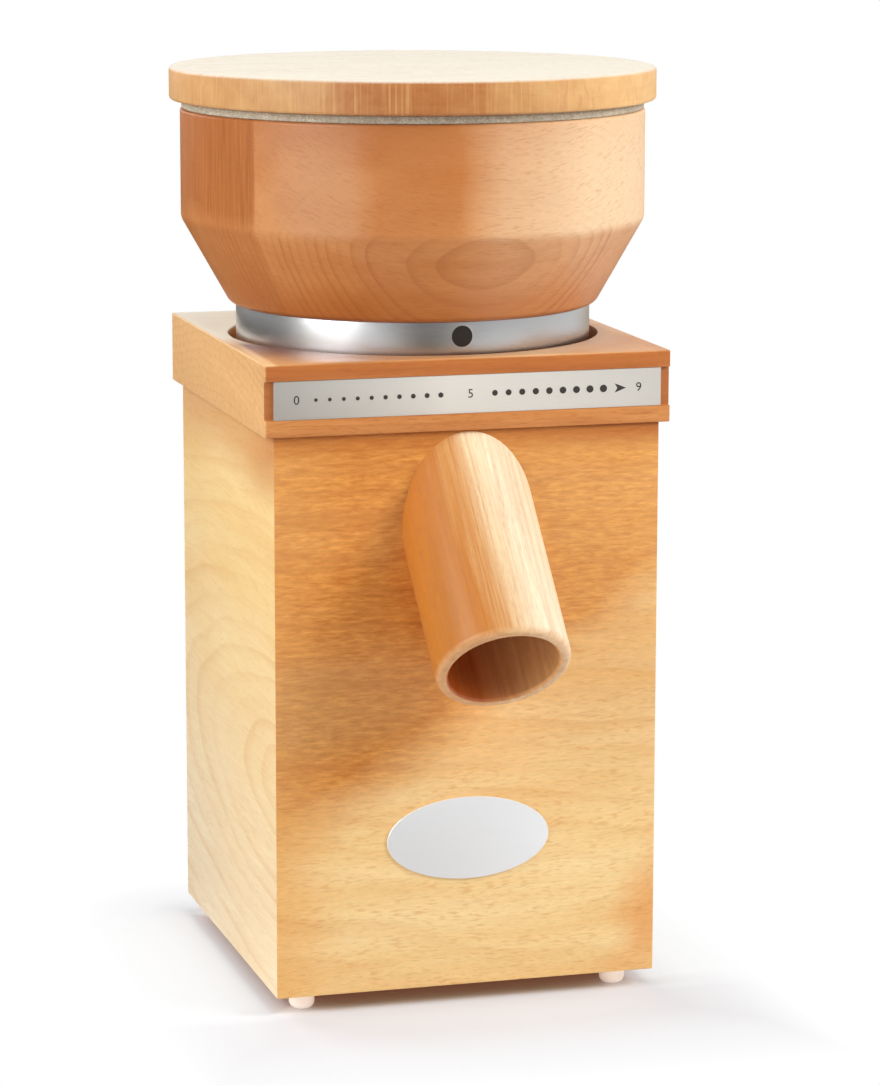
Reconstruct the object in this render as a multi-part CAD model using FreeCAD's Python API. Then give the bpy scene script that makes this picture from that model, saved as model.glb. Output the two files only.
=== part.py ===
import FreeCAD, Part
import math
import os

# Electric grain mill with a screw-down hopper. Millimetres, +Z up, spout towards -Y.
# Every piece is drawn about the mill axis; save() then sets the middle of the footprint at the origin.

V = FreeCAD.Vector
UP = V(0, 0, 1)

# ---- driving dimensions ----
foot_height = 7.0
foot_radius = 4.5
foot_x, foot_y = 57.0, 60.0

case_width = 137.2
case_front, case_back = -71.4, 71.2
case_top = 203.5
wall = 12.0

board_width = 144.0
board_half_depth = 73.0
board_top = 228.5
well_radius, well_floor = 66.0, 215.5
board_hole_radius = 56.0
groove_low, groove_high, groove_depth = 209.3, 222.7, 1.4

spout_start_height = 170.0
spout_tilt = 0.77
spout_length = 59.6
spout_wall_radius, spout_mouth_radius = 23.5, 23.25
spout_bore = 19.0

ring_radius, ring_wall = 63.0, 1.5
ring_low, ring_top = 219.2, 239.5
bowl_radius, bowl_foot_radius = 82.2, 65.0
bowl_corner, bowl_top = 270.0, 308.3
bowl_inside = 73.5
throat_radius = 14.0
lid_radius, lid_low, lid_top = 86.0, 311.5, 323.0
seal_radius = 81.7

chamber_floor, chamber_skin = 162.5, 4.0
channel_radius, cup_radius = 42.5, 50.0
ledge = 190.0
outlet_height, outlet_radius, outlet_skin = 176.5, 9.5, 2.5

stone_radius = 40.0
lower_stone_low, lower_stone_top = 172.0, 186.7
upper_stone_low, upper_stone_top = 187.5, 202.0
furrow_sectors, furrow_depth, furrow_width = 8, 1.3, 3.2
carrier_radius, carrier_thick = 49.5, 4.0
pin_ring, pin_radius, pin_top = 45.6, 1.5, 212.0

thread_bore, thread_outer = 52.1, 51.8
thread_ring_top = 217.5
collar_low = 206.0

shaft_radius = 6.0
bearing_gap = 0.05
motor_radius, motor_skin = 50.0, 2.5
motor_low, motor_high = 76.0, 138.0
bell_height = 14.0
stator_bore, rotor_radius = 26.0, 25.6
bracket_low, bracket_thick = 152.0, 4.0
post_ring, bolt_ring = 40.0, 44.0
fan_low, fan_high, fan_radius = 46.0, 60.0, 39.0

switch_height = 165.0
rocker_pivot_y = 70.2
rocker_tilt = 8.0
gland_x, gland_height, gland_bore = 18.0, 32.0, 3.7

spout_reach = (
    case_front
    - spout_length * math.cos(spout_tilt)
    - spout_mouth_radius * math.sin(spout_tilt)
)
# the mill axis stands this far behind the middle of the footprint
axis_y = -(lid_radius + spout_reach) / 2


# ---- small helpers ----
def cylinder(radius, low, high, x=0.0, y=0.0):
    return Part.makeCylinder(radius, high - low, V(x, y, low))


def tube(outer, inner, low, high, x=0.0, y=0.0):
    return cylinder(outer, low, high, x, y).cut(cylinder(inner, low - 1, high + 1, x, y))


def block(x0, x1, y0, y1, z0, z1):
    return Part.makeBox(x1 - x0, y1 - y0, z1 - z0, V(x0, y0, z0))


def prism(corners, low, high):
    points = [V(x, y, low) for x, y in corners]
    face = Part.Face(Part.makePolygon(points + points[:1]))
    return face.extrude(V(0, 0, high - low))


def turned(profile):
    """Revolves a closed outline of (radius, height) points about the mill axis."""
    points = [V(r, 0, z) for r, z in profile]
    face = Part.Face(Part.makePolygon(points + points[:1]))
    return face.revolve(V(0, 0, 0), UP, 360)


def spun(shape, angle):
    copy = shape.copy()
    copy.rotate(V(0, 0, 0), UP, angle)
    return copy


def moved(shape, x, y, z=0.0):
    copy = shape.copy()
    copy.translate(V(x, y, z))
    return copy


def around(shape, count, start=0.0):
    return [spun(shape, start + 360.0 * i / count) for i in range(count)]


def rim_edges(solid, radius, height):
    """Circular edges of this radius about the mill axis at this height."""
    found = []
    for edge in solid.Edges:
        curve = edge.Curve
        if not isinstance(curve, Part.Circle):
            continue
        centred = math.hypot(curve.Center.x, curve.Center.y) < 0.01
        if centred and abs(curve.Radius - radius) < 0.01 and abs(curve.Center.z - height) < 0.01:
            found.append(edge)
    return found


def straight_edges(solid, direction):
    """Straight edges that run along this direction."""
    found = []
    for edge in solid.Edges:
        if len(edge.Vertexes) != 2:
            continue
        run = edge.Vertexes[1].Point.sub(edge.Vertexes[0].Point)
        if run.Length > 1e-6 and abs(abs(run.normalize().dot(direction)) - 1) < 1e-6:
            found.append(edge)
    return found


def screw(x, y, low, high, shank, head, head_height):
    """A screw that points up, with its head at the bottom."""
    return cylinder(head, low, low + head_height, x, y).fuse(cylinder(shank, low, high, x, y))


def countersunk(x, y, low, high, shank, head):
    """A screw that points up, with a flat head flush at the bottom."""
    cone = Part.makeCone(head, shank, head - shank, V(x, y, low))
    return cone.fuse(cylinder(shank, low, high, x, y))


def save(name, solids):
    if not isinstance(solids, (list, tuple)):
        solids = [solids]
    pieces = []
    for shape in solids:
        pieces += shape.Solids
    for piece in pieces:
        if not piece.isValid() or piece.Volume <= 0:
            raise ValueError(name + " has a bad solid")
    group = pieces[0] if len(pieces) == 1 else Part.makeCompound(pieces)
    group = group.copy()
    group.translate(V(0, axis_y, 0))
    group.exportStep("parts/" + name + ".step")
    print(name, len(pieces), round(sum(p.Volume for p in pieces) / 1000, 2), "cm3")


# ---- feet and casing ----
stem_radius, stem_height = 1.9, 9.0


def foot_places():
    return [(x, y) for x in (-foot_x, foot_x) for y in (-foot_y, foot_y)]


def foot_stems():
    return [
        cylinder(stem_radius, foot_height, foot_height + stem_height, x, y)
        for x, y in foot_places()
    ]


def foot(x, y):
    """A domed glide with a flat underside and a stem that is driven into the casing."""
    pad = cylinder(foot_radius, 0, foot_height, x, y)
    rim = [e for e in pad.Edges if isinstance(e.Curve, Part.Circle) and e.Curve.Center.z < 1]
    pad = pad.makeFillet(2.6, rim)
    return pad.fuse(cylinder(stem_radius, foot_height - 1, foot_height + stem_height, x, y))


def feet():
    return [foot(x, y) for x, y in foot_places()]


half = case_width / 2
inner_x = half - wall
inner_front, inner_back = case_front + wall, case_back - wall


def casing_walls():
    """Four boards, mitred at the corners."""
    outer = [(-half, case_front), (half, case_front), (half, case_back), (-half, case_back)]
    inner = [
        (-inner_x, inner_front),
        (inner_x, inner_front),
        (inner_x, inner_back),
        (-inner_x, inner_back),
    ]
    walls = []
    for i in range(4):
        j = (i + 1) % 4
        walls.append(prism([outer[i], outer[j], inner[j], inner[i]], foot_height, case_top))
    for stem in foot_stems():
        walls = [w.cut(stem) for w in walls]
    return walls


def along_y(radius, y0, y1, x, z):
    return Part.makeCylinder(radius, y1 - y0, V(x, y0, z), V(0, 1, 0))


def front_board(wall_board):
    hole = along_y(outlet_radius + outlet_skin, case_front - 1, inner_front + 1, 0, outlet_height)
    return wall_board.cut(hole)


switch_cut_x, switch_cut_z = 22.4, 27.9


def back_board(wall_board):
    opening = block(
        -switch_cut_x / 2,
        switch_cut_x / 2,
        inner_back - 1,
        case_back + 1,
        switch_height - switch_cut_z / 2,
        switch_height + switch_cut_z / 2,
    )
    inlet = along_y(8.0, inner_back - 1, case_back + 1, gland_x, gland_height)
    return wall_board.cut(opening).cut(inlet)


base_top = foot_height + 10.0
vent_count, vent_pitch, vent_half_width, vent_half_length = 9, 9.0, 2.5, 30.0
screw_x, screw_y = 49.5, 52.3
block_leg, block_top = 22.0, 45.0


def vent_slot(x):
    middle = block(
        x - vent_half_width,
        x + vent_half_width,
        -vent_half_length,
        vent_half_length,
        foot_height - 1,
        base_top + 1,
    )
    ends = [
        cylinder(vent_half_width, foot_height - 1, base_top + 1, x, y)
        for y in (-vent_half_length, vent_half_length)
    ]
    return middle.fuse(ends)


def base_screws():
    return [
        countersunk(x, y, foot_height, 35.0, 1.75, 3.6)
        for x in (-screw_x, screw_x)
        for y in (-screw_y, screw_y)
    ]


def base_board():
    board = block(-inner_x, inner_x, inner_front, inner_back, foot_height, base_top)
    slots = [vent_slot(vent_pitch * (i - (vent_count - 1) / 2)) for i in range(vent_count)]
    return board.cut(slots + foot_stems() + base_screws())


def corner_blocks():
    """Glue blocks in the lower corners that hold the base board's screws."""
    blocks = []
    for sx, x in ((-1, -inner_x), (1, inner_x)):
        for sy, y in ((-1, inner_front), (1, inner_back)):
            corners = [(x, y), (x - sx * block_leg, y), (x, y - sy * block_leg)]
            if sx * sy < 0:
                corners.reverse()
            piece = prism(corners, base_top, block_top)
            blocks.append(piece.cut(base_screws()))
    return blocks


# ---- top board with the hopper's well and the scale ----
flange_half_x, flange_half_y = 55.5, 58.0
flange_low = 197.5
corner_x, corner_y = 48.0, 50.5
well_screw_ring = 60.5
board_edge = 0.5


def chamber_screws():
    return [
        screw(x, y, flange_low - 3, 213.0, 2.0, 4.0, 3.0)
        for x in (-corner_x, corner_x)
        for y in (-corner_y, corner_y)
    ]


def well_screws():
    """Flat-headed screws that hold the thread ring down in the well."""
    cone = Part.makeCone(1.5, 3.0, 1.5, V(well_screw_ring, 0, thread_ring_top - 1.5))
    shank = cylinder(1.5, 206.5, thread_ring_top - 1.5, well_screw_ring, 0)
    return around(cone.fuse(shank), 6, 30.0)


def top_board():
    board = block(
        -board_width / 2,
        board_width / 2,
        -board_half_depth,
        board_half_depth,
        case_top,
        board_top,
    )
    board = board.makeFillet(board_edge, board.Edges)
    well = cylinder(well_radius, well_floor, board_top + 1)
    hole = cylinder(board_hole_radius, case_top - 1, well_floor + 1)
    groove = block(
        -board_width,
        board_width,
        -board_half_depth - 1,
        -board_half_depth + groove_depth,
        groove_low,
        groove_high,
    )
    return board.cut([well, hole, groove] + chamber_screws() + well_screws())


strip_half_length, strip_recess, strip_gap, strip_corner = 68.7, 0.3, 0.05, 0.5


def scale_strip():
    """The long plate in the groove that the hopper's mark is read against."""
    strip = block(
        -strip_half_length,
        strip_half_length,
        -board_half_depth + strip_recess,
        -board_half_depth + groove_depth,
        groove_low + strip_gap,
        groove_high - strip_gap,
    )
    return strip.makeFillet(strip_corner, straight_edges(strip, V(0, 1, 0)))


plate_half_width, plate_half_height, plate_thick, plate_height = 29.2, 14.6, 0.8, 60.0


def name_plate():
    """A bare oval plate on the front."""
    ellipse = Part.Ellipse(V(0, 0, 0), plate_half_width, plate_half_height).toShape()
    plate = Part.Face(Part.Wire([ellipse])).extrude(V(0, 0, plate_thick))
    plate.rotate(V(0, 0, 0), V(1, 0, 0), 90)
    plate.translate(V(0, case_front, plate_height))
    return plate


# ---- spout ----
def mouth_rim(solid, mouth, radius_low, radius_high):
    """The round edges of the spout's mouth whose radius lies between two values."""
    return [
        e
        for e in solid.Edges
        if isinstance(e.Curve, Part.Circle)
        and (e.Curve.Center - mouth).Length < 0.01
        and radius_low < e.Curve.Radius < radius_high
    ]


outer_lip, inner_lip = 2.2, 1.5
slant_margin, slant_relief = 6.0, 0.4


def spout():
    """A turned tube, cut at a slant where it is glued to the front board."""
    way = V(0, -math.cos(spout_tilt), -math.sin(spout_tilt))
    start = V(0, case_front, spout_start_height)
    mouth = start + way * spout_length
    behind = spout_wall_radius * math.tan(spout_tilt) + slant_margin
    taper = (spout_wall_radius - spout_mouth_radius) / spout_length
    whole = behind + spout_length
    back = start - way * behind
    back_radius = spout_mouth_radius + taper * whole
    piece = Part.makeCone(back_radius, spout_mouth_radius, whole, back, way)
    piece = piece.cut(Part.makeCylinder(spout_bore, whole + 1, back, way))
    piece = piece.makeFillet(outer_lip, mouth_rim(piece, mouth, spout_bore + 1, 99))
    piece = piece.makeFillet(inner_lip, mouth_rim(piece, mouth, 0, spout_bore + 1))
    # the slanted end is bored a touch wider, which leaves a clean round bore towards the mouth
    relief_length = behind + spout_bore * math.tan(spout_tilt) + 0.2
    relief = Part.makeCylinder(spout_bore + slant_relief, relief_length, back, way)
    behind_wall = block(-60, 60, case_front, case_front + 120, 60, 300)
    return piece.cut(relief).cut(behind_wall)


# ---- mill chamber ----
def chamber_flange():
    plate = block(
        -flange_half_x, flange_half_x, -flange_half_y, flange_half_y, flange_low, case_top
    )
    return plate.makeFillet(6.0, straight_edges(plate, UP))


def mill_chamber():
    """A cast cup with a spring ledge, a round flour outlet and a square mounting flange."""
    floor_top = chamber_floor + chamber_skin
    outer_low = channel_radius + chamber_skin
    outer_high = cup_radius + chamber_skin
    body = turned(
        [
            (0, chamber_floor),
            (outer_low, chamber_floor),
            (outer_low, ledge - 6),
            (outer_high, ledge - 1),
            (outer_high, case_top),
            (0, case_top),
        ]
    )
    seal_boss = cylinder(20.0, chamber_floor - 4.5, chamber_floor + 1)
    spigot = along_y(
        outlet_radius + outlet_skin, case_front, -channel_radius + 2, 0, outlet_height
    )
    outside = body.fuse([seal_boss, chamber_flange(), spigot])
    hollow = cylinder(channel_radius, floor_top, ledge + 1).fuse(
        cylinder(cup_radius, ledge, case_top + 1)
    )
    outlet = along_y(outlet_radius, case_front - 1, -channel_radius + 6, 0, outlet_height)
    shaft_way = cylinder(12.0, chamber_floor - 6, floor_top + 1)
    seal_seat = cylinder(16.0, chamber_floor - 6, chamber_floor + 1)
    pin_holes = around(cylinder(pin_radius, ledge - 5, ledge + 1, pin_ring, 0), 3, 90.0)
    cuts = [hollow, outlet, shaft_way, seal_seat] + pin_holes
    return outside.cut(cuts + chamber_screws() + bracket_screws())


def shaft_seal():
    return tube(16.0, 11.0 + bearing_gap, chamber_floor - 4.0, chamber_floor + 1)


def guide_pins():
    return around(cylinder(pin_radius, ledge - 5, pin_top, pin_ring, 0), 3, 90.0)


def thread_ring():
    """The fixed threaded ring in the top board that the hopper screws into."""
    ring = turned(
        [
            (thread_bore, case_top),
            (board_hole_radius, case_top),
            (board_hole_radius, well_floor),
            (64.0, well_floor),
            (64.0, thread_ring_top),
            (thread_bore + 1, thread_ring_top),
            (thread_bore, thread_ring_top - 1),
        ]
    )
    return ring.cut(well_screws())


# ---- stone carrier and millstones ----
def furrow(length, inner, offset, level, downwards):
    """A ramp-shaped groove along +X, offset sideways from the stone's centre line."""
    sign = 1 if downwards else -1
    section = [
        V(inner, offset, level + sign * 0.5),
        V(inner, offset + furrow_width, level + sign * 0.5),
        V(inner, offset + furrow_width, level),
        V(inner, offset + 0.4, level - sign * furrow_depth),
        V(inner, offset, level - sign * furrow_depth),
    ]
    face = Part.Face(Part.makePolygon(section + section[:1]))
    return face.extrude(V(length, 0, 0))


def furrows(level, downwards, inner):
    """Harp dressing: each sector has a master furrow and two shorter ones beside it."""
    cutters = []
    starts = (inner, inner + 7.0, inner + 14.0)
    for number, start in enumerate(starts):
        offset = 3.0 + 8.0 * number
        cutters.append(furrow(stone_radius + 3 - start, start, offset, level, downwards))
    sector = []
    for cutter in cutters:
        sector += around(cutter, furrow_sectors)
    return sector


def lower_stone():
    recess, bore = 16.0, 8.0
    seat = lower_stone_top - 8.0
    stone = turned(
        [
            (bore, lower_stone_low),
            (stone_radius, lower_stone_low),
            (stone_radius, lower_stone_top),
            (recess + 6, lower_stone_top),
            (recess, lower_stone_top - 2.5),
            (recess, seat),
            (bore, seat),
        ]
    )
    return stone.cut(furrows(lower_stone_top, True, recess + 5))


def upper_stone():
    eye = throat_radius
    stone = turned(
        [
            (eye + 8, upper_stone_low),
            (stone_radius, upper_stone_low),
            (stone_radius, upper_stone_top),
            (eye, upper_stone_top),
            (eye, upper_stone_low + 6),
        ]
    )
    return stone.cut(furrows(upper_stone_low, False, eye + 7))


def stone_carrier():
    """The plate that holds the upper stone and slides on three pins."""
    plate = turned(
        [
            (throat_radius, upper_stone_top),
            (carrier_radius, upper_stone_top),
            (carrier_radius, upper_stone_top + carrier_thick),
            (throat_radius + 4, upper_stone_top + carrier_thick),
            (throat_radius, upper_stone_top + carrier_thick - 2),
        ]
    )
    holes = around(
        cylinder(pin_radius + 0.3, upper_stone_top - 1, collar_low + 1, pin_ring, 0), 3, 90.0
    )
    return plate.cut(holes)


spring_radius, spring_wire, spring_turns = 2.5, 0.8, 3


def stone_spring():
    """A square-wire compression spring on its guide pin."""
    height = upper_stone_top - ledge
    rise = height - spring_wire
    helix = Part.makeHelix(rise / spring_turns, rise, spring_radius)
    edge = helix.Edges[0]
    start = edge.valueAt(edge.FirstParameter)
    w = spring_wire / 2
    corners = [
        V(start.x - w, 0, -w),
        V(start.x + w, 0, -w),
        V(start.x + w, 0, w),
        V(start.x - w, 0, w),
    ]
    section = Part.makePolygon(corners + corners[:1])
    coil = Part.Wire(helix.Edges).makePipeShell([section], True, True)
    ends = [
        tube(spring_radius + w, spring_radius - w, 0, 0.5),
        tube(spring_radius + w, spring_radius - w, height - 0.5, height),
    ]
    coil.translate(V(0, 0, spring_wire / 2))
    return moved(coil.fuse(ends), pin_ring, 0, ledge)


def stone_springs():
    return around(stone_spring(), 3, 90.0)


# ---- hopper ----
funnel_mouth, funnel_wall, funnel_seat = 34.0, 2.5, 36.5
funnel_low, tube_top = 206.8, 217.0
barrel_inside, collar_deck = 47.5, 215.0


def thread_collar():
    """The threaded barrel under the hopper and the thick ring that the bowl stands on."""
    inside_ring = ring_radius - ring_wall
    body = turned(
        [
            (barrel_inside, collar_low),
            (thread_outer, collar_low),
            (thread_outer, ring_low),
            (inside_ring, ring_low),
            (inside_ring, ring_top),
            (funnel_seat, ring_top),
            (funnel_seat, collar_deck),
            (barrel_inside, collar_deck),
        ]
    )
    return body.cut([dot_cutter(3.5)] + bowl_screws())


def feed_funnel():
    """The funnel and tube that lead the grain into the eye of the stone."""
    return turned(
        [
            (throat_radius, funnel_low),
            (throat_radius + funnel_wall, funnel_low),
            (throat_radius + funnel_wall, tube_top - 1.2),
            (funnel_seat, ring_top - 3.0),
            (funnel_seat, ring_top),
            (funnel_mouth, ring_top),
            (throat_radius, tube_top),
        ]
    )


dot_radius, dot_height = 3.7, 234.5


def dot_cutter(depth):
    return along_y(dot_radius, -ring_radius - 2, -ring_radius + depth, 0, dot_height)


def hopper_ring():
    return tube(ring_radius, ring_radius - ring_wall, ring_low, ring_top).cut(dot_cutter(10))


def marker_dot():
    """A round dark plug, set just below the ring's surface."""
    return dot_cutter(3.5).common(cylinder(ring_radius - 0.25, 225, 245))


def bowl_screws():
    return around(countersunk(54.5, 0, ring_low, 250.0, 1.75, 3.6), 4, 45.0)


inner_corner_fillet = 5.0
stave_span, first_joint = 120.0, -146.0


def bowl_shell():
    """The whole turned bowl: straight sides above, a cone below, and a funnel inside."""
    shell = turned(
        [
            (funnel_mouth, ring_top),
            (bowl_foot_radius, ring_top),
            (bowl_radius, bowl_corner),
            (bowl_radius, bowl_top),
            (bowl_inside, bowl_top),
            (bowl_inside, bowl_corner + 2),
        ]
    )
    shell = shell.makeFillet(4.0, rim_edges(shell, bowl_foot_radius, ring_top))
    shell = shell.makeFillet(6.0, rim_edges(shell, bowl_radius, bowl_corner))
    inner_corner = rim_edges(shell, bowl_inside, bowl_corner + 2)
    shell = shell.makeFillet(inner_corner_fillet, inner_corner)
    top_rims = rim_edges(shell, bowl_radius, bowl_top) + rim_edges(shell, bowl_inside, bowl_top)
    return shell.makeFillet(1.0, top_rims).cut(bowl_screws())


def hopper_bowl():
    """The cone at the foot of the bowl, with the wall staves glued on its top face."""
    return bowl_shell().common(cylinder(bowl_radius + 1, ring_top, bowl_corner))


def hopper_stave(start):
    """A third of the bowl's straight wall, from one upright glue joint to the next."""
    steps = 4
    corners = [(0.0, 0.0)]
    for step in range(steps + 1):
        angle = math.radians(start + stave_span * step / steps)
        corners.append((2 * bowl_radius * math.cos(angle), 2 * bowl_radius * math.sin(angle)))
    return bowl_shell().common(prism(corners, bowl_corner, bowl_top + 1))


def lid_board():
    """A round board with a shallow plug that centres it in the bowl."""
    plug = bowl_inside - 0.6
    board = turned(
        [
            (0, lid_low - 6),
            (plug, lid_low - 6),
            (plug, lid_low),
            (lid_radius, lid_low),
            (lid_radius, lid_top),
            (0, lid_top),
        ]
    )
    board = board.makeFillet(1.4, rim_edges(board, lid_radius, lid_top))
    return board.makeFillet(1.2, rim_edges(board, lid_radius, lid_low))


def lid_seal():
    return tube(seal_radius, bowl_inside - 0.6, bowl_top, lid_low)


# ---- grinding shaft and motor ----
shaft_shoulder = 168.0
shaft_tip = 188.0


def motor_shaft():
    return turned(
        [
            (0, fan_low - 2),
            (shaft_radius - 1, fan_low - 2),
            (shaft_radius, fan_low - 1),
            (shaft_radius, shaft_shoulder),
            (5.0, shaft_shoulder + 1),
            (5.0, shaft_tip - 1),
            (4.0, shaft_tip),
            (0, shaft_tip),
        ]
    )


def stone_hub():
    """The driven plate under the lower stone, with three blades that sweep flour to the outlet."""
    floor_top = chamber_floor + chamber_skin
    plate = turned(
        [
            (shaft_radius, chamber_floor - 5.0),
            (11.0, chamber_floor - 5.0),
            (11.0, shaft_shoulder),
            (36.0, shaft_shoulder),
            (36.0, lower_stone_low),
            (8.0, lower_stone_low),
            (8.0, lower_stone_low + 6.7),
            (5.0, lower_stone_low + 6.7),
            (5.0, shaft_shoulder + 1),
            (shaft_radius, shaft_shoulder),
        ]
    )
    blade = block(20, channel_radius - 0.6, -1.5, 1.5, floor_top + 0.5, lower_stone_low - 0.1)
    return plate.fuse(around(blade, 3))


def stone_washer():
    seat = lower_stone_top - 8.0
    return tube(11.5, 5.0, seat, seat + 1.5)


def stone_nut():
    low = lower_stone_top - 6.5
    flats = 8.5 / math.cos(math.pi / 6)
    corners = [
        (flats * math.cos(math.pi * i / 3), flats * math.sin(math.pi * i / 3)) for i in range(6)
    ]
    return prism(corners, low, low + 6.0).cut(cylinder(5.0, low - 1, low + 8))


def bearing(low):
    """A ball bearing's rings and shields in one turned piece."""
    high = low + 9.0
    return turned(
        [
            (shaft_radius + bearing_gap, low),
            (8.2, low),
            (8.2, low + 0.6),
            (10.8, low + 0.6),
            (10.8, low),
            (13.0, low),
            (13.0, high),
            (10.8, high),
            (10.8, high - 0.6),
            (8.2, high - 0.6),
            (8.2, high),
            (shaft_radius + bearing_gap, high),
        ]
    )


def tie_bolts():
    bolt = screw(bolt_ring, 0, motor_low - bell_height - 3, bracket_low + 7, 2.0, 3.8, 3.0)
    return around(bolt, 4, 45.0)


def tie_bolt_nuts():
    low = bracket_low + bracket_thick
    corners = [
        (bolt_ring + 4 * math.cos(math.pi * i / 3), 4 * math.sin(math.pi * i / 3))
        for i in range(6)
    ]
    nut = prism(corners, low, low + 2.8).cut(cylinder(2.0, low - 1, low + 4, bolt_ring, 0))
    return around(nut, 4, 45.0)


def bell_windows(low, high):
    window = prism([(18, -5), (36, -9), (36, 9), (18, 5)], low, high)
    return around(window, 4)


def upper_end_bell():
    """The upper bearing shield with a hub and four windows."""
    low, high = motor_high, motor_high + bell_height
    bell = turned(
        [
            (shaft_radius + 2, high),
            (shaft_radius + 2, high - 1.5),
            (13.0, high - 1.5),
            (13.0, high - 10.5),
            (16.5, high - 10.5),
            (16.5, high - 4),
            (motor_radius - 3, high - 4),
            (motor_radius - 3, low),
            (motor_radius, low),
            (motor_radius, high),
        ]
    )
    return bell.cut(bell_windows(high - 5, high + 1) + tie_bolts())


def lower_end_bell():
    """The lower bearing shield, the mirror image of the upper one."""
    low, high = motor_low - bell_height, motor_low
    bell = turned(
        [
            (shaft_radius + 2, low),
            (motor_radius, low),
            (motor_radius, high),
            (motor_radius - 3, high),
            (motor_radius - 3, low + 4),
            (16.5, low + 4),
            (16.5, low + 10.5),
            (13.0, low + 10.5),
            (13.0, low + 1.5),
            (shaft_radius + 2, low + 1.5),
        ]
    )
    return bell.cut(bell_windows(low - 1, low + 5) + tie_bolts())


def motor_housing():
    """The motor's steel sleeve, with a row of vent holes near each end."""
    sleeve = tube(motor_radius, motor_radius - motor_skin, motor_low, motor_high)
    slot = block(motor_radius - 5, motor_radius + 2, -4, 4, motor_low + 4, motor_low + 8)
    vents = around(slot, 8, 22.5) + [moved(v, 0, 0, 50) for v in around(slot, 8, 22.5)]
    return sleeve.cut(vents)


slot_count, slot_half_width, slot_inner, slot_outer = 24, 1.9, 28.5, 38.0
core_low, core_high = 87.0, 127.0


def winding_slot(low, high, clearance):
    w = slot_half_width - clearance
    return block(slot_inner + clearance, slot_outer - clearance, -w, w, low, high)


def stator_core():
    ring = tube(motor_radius - motor_skin, stator_bore, core_low, core_high)
    slots = around(winding_slot(core_low - 1, core_high + 1, 0), slot_count)
    mouth = block(stator_bore - 2, slot_inner + 1, -0.6, 0.6, core_low - 1, core_high + 1)
    mouths = around(mouth, slot_count)
    return ring.cut(slots + mouths + tie_bolts())


def stator_windings():
    """Copper bars through the slots, joined by a bundled ring of end turns at each end."""
    bars = around(winding_slot(core_low - 1, core_high + 1, 0.3), slot_count)
    upper = turned(
        [
            (28.0, core_high + 0.5),
            (39.5, core_high + 0.5),
            (41.0, core_high + 3),
            (39.0, core_high + 8),
            (31.0, core_high + 9.5),
            (28.0, core_high + 7),
        ]
    )
    lower = upper.mirror(V(0, 0, (core_low + core_high) / 2), UP)
    return upper.fuse([lower] + bars)


def rotor_core():
    return tube(rotor_radius, shaft_radius, core_low - 1, core_high + 1)


def rotor_end_rings():
    """Cast rings that close the rotor's cage, each with small fan fins."""
    ring = tube(24.0, 14.0, core_high + 1, core_high + 5)
    fin = block(16, 22, -0.8, 0.8, core_high + 4, core_high + 8)
    upper = ring.fuse(around(fin, 6))
    lower = upper.mirror(V(0, 0, (core_low + core_high) / 2), UP)
    return [upper, lower]


def cooling_fan():
    """A radial fan on the lower end of the shaft that draws air through the base."""
    disc = turned(
        [
            (shaft_radius, fan_low),
            (10.0, fan_low),
            (10.0, fan_high - 3),
            (30.0, fan_high - 2),
            (fan_radius, fan_high - 2),
            (fan_radius, fan_high),
            (shaft_radius, fan_high),
        ]
    )
    blade = block(9.0, fan_radius - 2, -0.9, 0.9, fan_low + 3, fan_high - 1)
    blade.rotate(V(9, 0, 0), UP, 18)
    return disc.fuse(around(blade, 9)).cut(cylinder(shaft_radius, fan_low - 1, fan_high + 1))


def bracket_screws():
    body = countersunk(post_ring, 0, bracket_low, chamber_floor + 3.0, 2.0, 4.0)
    return around(body, 4)


def motor_bracket():
    """The plate that hangs the motor from the mill chamber on four posts."""
    top = bracket_low + bracket_thick
    plate = tube(motor_radius - 1, 16.0, bracket_low, top)
    posts = around(cylinder(4.0, top - 1, chamber_floor, post_ring, 0), 4)
    return plate.fuse(posts).cut(bracket_screws() + tie_bolts())


# ---- electrical parts ----
capacitor_x, capacitor_y, capacitor_radius = -43.4, 46.2, 12.0
clip_skin = 0.6


def capacitor():
    can = cylinder(capacitor_radius, 56.0, 112.0, capacitor_x, capacitor_y)
    rims = [e for e in can.Edges if isinstance(e.Curve, Part.Circle)]
    can = can.makeChamfer(1.0, rims)
    tabs = [
        block(x - 0.4, x + 0.4, capacitor_y - 3, capacitor_y + 3, 111.0, 119.0)
        for x in (capacitor_x - 4.5, capacitor_x + 4.5)
    ]
    return can.fuse(tabs)


def capacitor_clip():
    """A spring-steel clamp that holds the capacitor against the back board."""
    outer = capacitor_radius + clip_skin
    band = tube(outer, capacitor_radius, 78.0, 90.0, capacitor_x, capacitor_y)
    gap = block(capacitor_x + 2, capacitor_x + 20, 30, capacitor_y - 4, 77.0, 91.0)
    ear = block(capacitor_x + 12, -18.0, inner_back - 1.0, inner_back, 78.0, 90.0)
    link = block(capacitor_x + 12, capacitor_x + 13, capacitor_y, inner_back, 78.0, 90.0)
    return band.cut(gap).fuse([ear, link])


def terminal_block():
    """A connector block on the back board with a row of clamp holes."""
    body = block(29.0, 53.0, inner_back - 11, inner_back, 64.0, 78.0)
    body = body.cut(block(28.0, 54.0, inner_back - 12, inner_back - 8, 74.0, 79.0))
    holes = [cylinder(1.6, 70.0, 79.0, x, inner_back - 4) for x in (33.5, 41.0, 48.5)]
    return body.cut(holes)


pocket_x, pocket_z = 20.4, 25.5
pocket_back = 65.6
bezel_front = case_back + 2.0
switch_back = 53.0
trunnion_radius = 1.4


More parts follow.
